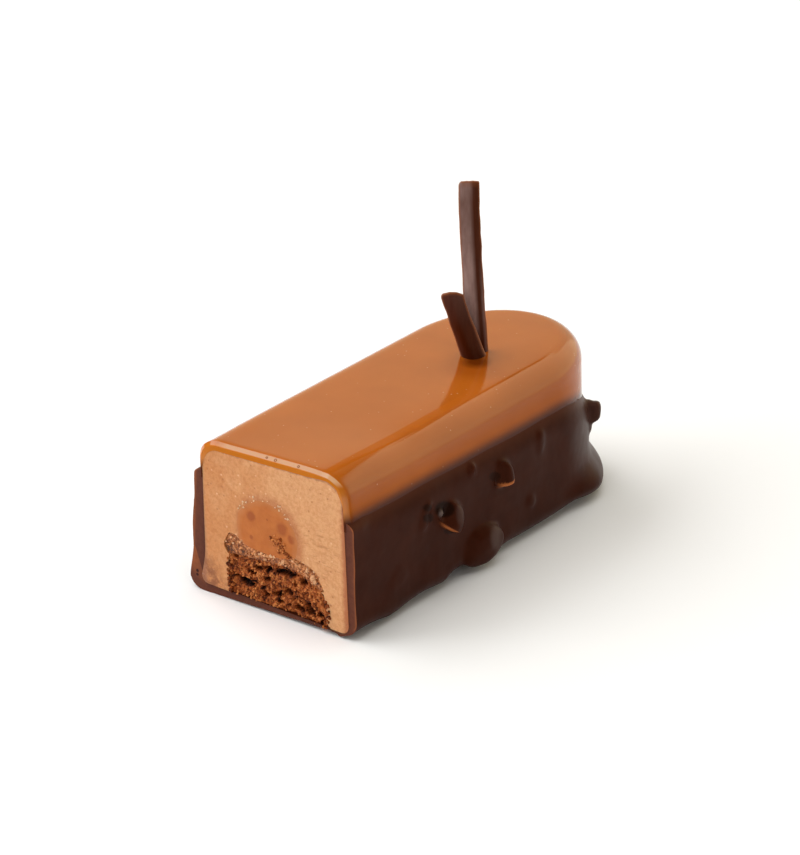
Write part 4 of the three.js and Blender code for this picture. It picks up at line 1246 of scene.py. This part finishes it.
def painted_sheen(x, y, z):
    """Painted highlight and sheen: 1 on the smooth bead in the shard's hollow, less on the nuts' ridges and
    round the far corner.
    """
    turn = math.atan2((y - COAT_STRAIGHT) / END_DEPTH, x / COAT_HALF_WIDTH)
    begins, ends = END_TURN
    if 0 < turn < ends[1]:
        return END_PAINTED_SHEEN * blend_in(turn, *begins) * (1 - blend_in(turn, *ends)) * blend_in(z, 4, 10)
    if x < COAT_HALF_WIDTH - 0.2:
        return 0
    bead = 1 - blend_in(math.hypot(y - HIGHLIGHT_BEAD_AT[0], z - HIGHLIGHT_BEAD_AT[1]), 0.35, 0.95)
    return max(bead, inside_ovals(x, y, z, PAINTED_SHEEN_OVALS, PAINTED_SHEEN_EDGE))


def rind(x, y, z):
    """0 on the coat's inner wall and 1 on its outer one, for the finish of its cut."""
    inner_left = settled(HOLLOW_OVERLAP - MOUSSE_HALF_WIDTH, 0, z)[0]
    inner_right = settled(MOUSSE_HALF_WIDTH - HOLLOW_OVERLAP, 0, z)[0]
    off = max(inner_left - x, x - inner_right, MOUSSE_FLOOR - floor_tilt(x) - z)
    outer = 1 if z > 3 else FLOOR_RIND
    return outer if off > RIND_DEPTH else 0


mark(coat, "below_dip", lambda x, y, z: dip_height(x, y) - z)
mark(coat, "bare_and_lit", bare_and_lit_edge)
mark(coat, "hollow", lambda x, y, z: inside_ovals(x, y, z, SHADOW_OVALS, SHADOW_EDGE))
mark(coat, "painted_sheen", painted_sheen)
mark(coat, "rind", rind)
shell = finish_of("dark_chocolate", 0.36, 0.07, (1, 0.6, 0.4))
clouds = grain(shell, 7, 3, 0.55)
coat_colour = stops(shell, clouds, (0.3, (0.033, 0.0058, 0.002)), (0.7, (0.045, 0.0089, 0.0034)))
coat_colour = mixed(shell, spread(shell, marked(shell, "below_dip"), 3.2, -0.4), coat_colour, DIP_COLOUR)
# Painted shade in the hollows of the nuts.
coat_colour = mixed(shell, marked(shell, "hollow"), coat_colour, (0.009, 0.0012, 0.0002))
# Painted highlight and sheen: a pale grey-brown where the chocolate would catch the light.
coat_colour = mixed(shell, marked(shell, "painted_sheen"), coat_colour, (0.15, 0.108, 0.095))
# Bare nut at the shards' edges, painted bright orange, partly as a painted reflection of warm light from
# below.
put(shell, "Base Color", mixed(shell, marked(shell, "bare_and_lit"), coat_colour, (0.5, 0.15, 0.045)))
relief(shell, grain(shell, 6, 2, 0.4), 0.2)

cut_shell = finish_of("cut_chocolate", 0.55, 0.15)
cut_layers = stops(
    cut_shell,
    marked(cut_shell, "rind"),
    (0.05, (0.085, 0.021, 0.0095)),
    (0.3, (0.108, 0.027, 0.0125)),
    (0.8, (0.128, 0.034, 0.0155)),
    (0.97, (0.26, 0.07, 0.02)),
)
cut_marks = stops(cut_shell, grain(cut_shell, 1.2, 3, 0.6), (0.3, (0.75, 0.72, 0.7)), (0.65, 1))
cut_colour = mixed(cut_shell, 0.8, cut_layers, cut_marks, "MULTIPLY")
# Two small bubble holes in the cut are painted near black: painted shade inside them.
for x, z, radius in CUT_BUBBLES:
    bubble = stops(cut_shell, near_spot(cut_shell, (x, 0, z), radius, 0.3), (0.5, 1), (1, 0))
    cut_colour = mixed(cut_shell, bubble, cut_colour, (0.025, 0.004, 0.0015))
put(cut_shell, "Base Color", cut_colour)
relief(cut_shell, grain(cut_shell, 0.5, 3), 0.06)
dress(coat, shell, cut_shell)
cut_level = place(0, COAT_CUT + 0.02, 0).y
for face in coat.data.polygons:
    face.material_index = 1 if face.normal.y < -0.99 and face.center.y < cut_level else 0
bpy.ops.object.shade_smooth_by_angle(angle=math.radians(50))
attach(coat, "root")
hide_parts("chocolate_coat")

# Chocolate strips: two shards of tempered chocolate, set on a curved sheet, so that they bow across.
# They are pushed into the glaze near the far end: a tall one, and a short one that leans in front of it.
STRIP_FACING = math.radians(39)
STRIP_THICKNESS = 0.85
STRIP_DEEP = 2.4
STRIP_EDGE = 0.2
RIGHT_CORNER = 0.3
STRIP_COLUMNS, STRIP_ROWS = 10, 28
tempered = finish_of("tempered_chocolate", 0.34, 0.16, (1, 0.6, 0.4))
strip_grain = grain(tempered, 1.2, 3, 0.6, (1, 1, 5))
strip_colour = stops(tempered, strip_grain, (0.3, (0.046, 0.0068, 0.0012)), (0.7, (0.062, 0.011, 0.003)))
sheen_patches = stops(tempered, grain(tempered, 1.1, 3, 0.6, (1, 1, 4)), (0.25, 0.6), (0.65, 1))
strip_sheen = times(tempered, marked(tempered, "strip_sheen"), sheen_patches)
# Painted sheen: the strips are paler where they would reflect the light.
strip_colour = mixed(tempered, strip_sheen, strip_colour, (0.33, 0.22, 0.195))
# The strips' thin edges and top are painted orange: painted light showing through the thin chocolate.
put(tempered, "Base Color", mixed(tempered, marked(tempered, "edge"), strip_colour, (0.24, 0.07, 0.024)))
strip_marks = relief(tempered, grain(tempered, 0.8, 3, 0.5, (1, 1, 6)), 0.04)
relief(tempered, grain(tempered, 0.4), 0.02, strip_marks)


def tall_painted_sheen(across, share):
    """Painted sheen on the tall strip, pale where its bow would reflect the light: on its left, strongest
    below its middle, and on its right edge.
    """
    left = (1 - blend_in(across, -0.05, 0.4)) * (0.45 + 0.55 * math.exp(-(((share - 0.38) / 0.3) ** 2)))
    top_corner = 0.25 * blend_in(share, 0.88, 0.97) * (1 - blend_in(across, 0, 0.6))
    return left + top_corner + 0.4 * blend_in(across, 0.6, 0.85) * (1 - blend_in(share, 0.3, 0.6))


def short_painted_sheen(across, share):
    """The short strip is clean and dark, with only a little painted sheen towards its top."""
    return 0.1 * blend_in(share, 0.4, 1)


def chocolate_strip(
    name, node_name, foot, width, height, lean, bend, bow, crown, splay, left_corner, sheen_at
):
    """A strip standing in the top: a thin slab, bowed across, tilted to the left and bent lengthways."""
    bpy.ops.object.select_all(action="DESELECT")
    bpy.ops.mesh.primitive_cube_add(size=1, location=(0, 0, 0))
    bpy.context.object.scale = (width, STRIP_THICKNESS, height + STRIP_DEEP)
    piece = named(name)
    half = width / 2
    bpy.ops.object.mode_set(mode="EDIT")
    for hand, corner in ((-1, left_corner), (1, RIGHT_CORNER)):
        select(
            piece,
            "EDGE",
            lambda edge: abs(edge.verts[0].co.y - edge.verts[1].co.y) > 0.1
            and edge.verts[0].co.z > height / 2
            and edge.verts[0].co.x * hand > half - 0.01,
        )
        bpy.ops.mesh.bevel(offset=corner, segments=5, affect="EDGES")
    select(
        piece,
        "EDGE",
        lambda edge: len({round(v.co.y, 2) for v in edge.verts}) == 1 and edge.calc_face_angle(0) > 0.8,
    )
    bpy.ops.mesh.bevel(offset=STRIP_EDGE, segments=2, affect="EDGES")
    rows = ((0, 0, 1), (height + STRIP_DEEP) / 2, STRIP_ROWS)
    for axis, reach, cuts in (((1, 0, 0), half, STRIP_COLUMNS), rows):
        for i in range(1, cuts):
            bpy.ops.mesh.select_all(action="SELECT")
            bpy.ops.mesh.bisect(plane_co=Vector(axis) * (reach * (2 * i / cuts - 1)), plane_no=axis)
    bpy.ops.object.mode_set(mode="OBJECT")
    across = Vector((math.cos(STRIP_FACING), math.sin(STRIP_FACING), 0))
    outward = Vector((math.sin(STRIP_FACING), -math.cos(STRIP_FACING), 0))
    edges, sheens = [], []
    for vertex in piece.data.vertices:
        side, depth, rise = vertex.co
        rise += (height - STRIP_DEEP) / 2
        share = rise / height
        reach = abs(side) / half
        at_top = blend_in(rise, height - 0.35, height - 0.05)
        edges.append(max(blend_in(reach, 1 - 0.3 / half, 1 - 0.08 / half), 0.8 * at_top))
        sheens.append(sheen_at(side / half, share))
        side += splay * (1 - share) * blend_in(side / width, -0.2, 0.5)
        side += 0.16 * noise.noise(Vector((side * 0.4, rise * 0.35, width))) * reach
        shift = -lean * share + bend * share * (share - 1)
        uneven_top = 0.12 * noise.noise(Vector((side * 1.3, width, 2))) * share
        rise += crown * (1 - reach**2) * blend_in(share, 0.6, 1) + uneven_top
        spot = Vector((foot[0], foot[1], GLAZE_TOP + rise))
        spot += across * (side + shift) + outward * (bow * (1 - 0.65 * share) * (1 - reach**2) - depth)
        vertex.co = place(*spot)
    for layer_name, values in (("edge", edges), ("strip_sheen", sheens)):
        layer = piece.data.attributes.new(layer_name, "FLOAT", "POINT")
        layer.data.foreach_set("value", values)
    dress(piece, tempered)
    bpy.ops.object.shade_smooth_by_angle(angle=math.radians(40))
    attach(piece, "root")
    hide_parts(node_name)


chocolate_strip(
    "tall_strip",
    "chocolate_strip_tall",
    foot=(1.5, 66.8),
    width=4.4,
    height=38.6,
    lean=1.25,
    bend=1.0,
    bow=1.0,
    crown=0.15,
    splay=0,
    left_corner=1.0,
    sheen_at=tall_painted_sheen,
)
chocolate_strip(
    "short_strip",
    "chocolate_strip_short",
    foot=(1.9, 64.2),
    width=4.7,
    height=14.0,
    lean=4.0,
    bend=0.4,
    bow=2.0,
    crown=0.85,
    splay=0.6,
    left_corner=0.5,
    sheen_at=short_painted_sheen,
)

# Studio: a pale table top, with soft lights on the left, in front, overhead and on the right.
# The glaze mirrors three warm panels behind the cake.
# The camera stands where the photograph was taken from.
FLOOR_SIZE = 8
FLOOR_COLOUR = (0.94, 0.935, 0.93)
BASE = (0, 0, 0.02)
WHITE, WARM = (1, 1, 1), (1, 0.9, 0.6)
LIGHTS = [
    ("key", (-0.9, -0.25, 0.85), BASE, (1.7, 0.95), 2.9, WHITE),
    ("front", (-0.75, -1.25, 0.5), BASE, (1.3, 0.9), 2.3, WHITE),
    ("overhead", (0.1, -0.1, 1.3), (0, 0, 0), (1.3, 1.3), 1.8, WHITE),
    ("left_wall", (-1.15, 1.35, 0.49), (-1.15, 0, 0.49), (1.7, 0.98), 0.75, WARM),
    ("right_wall", (0.7, 1.35, 0.73), (0.7, 0, 0.73), (2.0, 1.46), 1.4, WARM),
    ("upper_wall", (-0.46, 1.35, 1.22), (-0.46, 0, 1.22), (0.32, 0.48), 1.4, WARM),
    ("fill", (1.5, -0.4, 0.6), BASE, (1.2, 1.0), 1.0, WHITE),
]
WORLD_STRENGTH = 0.06
FOCAL_PIXELS = 4176.7
PICTURE_HEIGHT = 855
SENSOR_WIDTH = 36
CAMERA_AT = (498.14, -574.32, 394.63)
CAMERA_RIGHT = (0.7846, 0.6196, -0.025)
CAMERA_UP = (-0.2433, 0.3447, 0.9066)
CAMERA_BACK = (0.5703, -0.7052, 0.4212)
bpy.ops.object.select_all(action="DESELECT")
bpy.ops.mesh.primitive_plane_add(size=FLOOR_SIZE, location=(0, 0, 0))
floor = named("floor")
table = finish_of("pale_table", 0.9, 0.1)
put(table, "Base Color", FLOOR_COLOUR)
dress(floor, table)
for name, spot, target, (width, height), radiance, colour in LIGHTS:
    lamp = bpy.data.lights.new(name, "AREA")
    lamp.color = colour
    lamp.shape = "RECTANGLE"
    lamp.size, lamp.size_y = width, height
    lamp.energy = radiance * math.pi * width * height
    stand = bpy.data.objects.new(name, lamp)
    stand.location = spot
    stand.rotation_euler = (Vector(target) - Vector(spot)).to_track_quat("-Z", "Y").to_euler()
    bpy.context.scene.collection.objects.link(stand)
world = bpy.data.worlds.new("studio")
world.use_nodes = True
world.node_tree.nodes["Background"].inputs["Color"].default_value = (1, 1, 1, 1)
world.node_tree.nodes["Background"].inputs["Strength"].default_value = WORLD_STRENGTH
bpy.context.scene.world = world
bpy.context.scene.view_settings.view_transform = "Standard"
camera_data = bpy.data.cameras.new("camera")
camera_data.sensor_width = SENSOR_WIDTH
camera_data.lens = FOCAL_PIXELS * SENSOR_WIDTH / PICTURE_HEIGHT
camera = bpy.data.objects.new("camera", camera_data)
bpy.context.scene.collection.objects.link(camera)
turned = Matrix((CAMERA_RIGHT, CAMERA_UP, CAMERA_BACK)).transposed().to_4x4()
camera.matrix_world = Matrix.Translation(place(*CAMERA_AT)) @ turned
bpy.context.scene.camera = camera

bpy.context.view_layer.update()
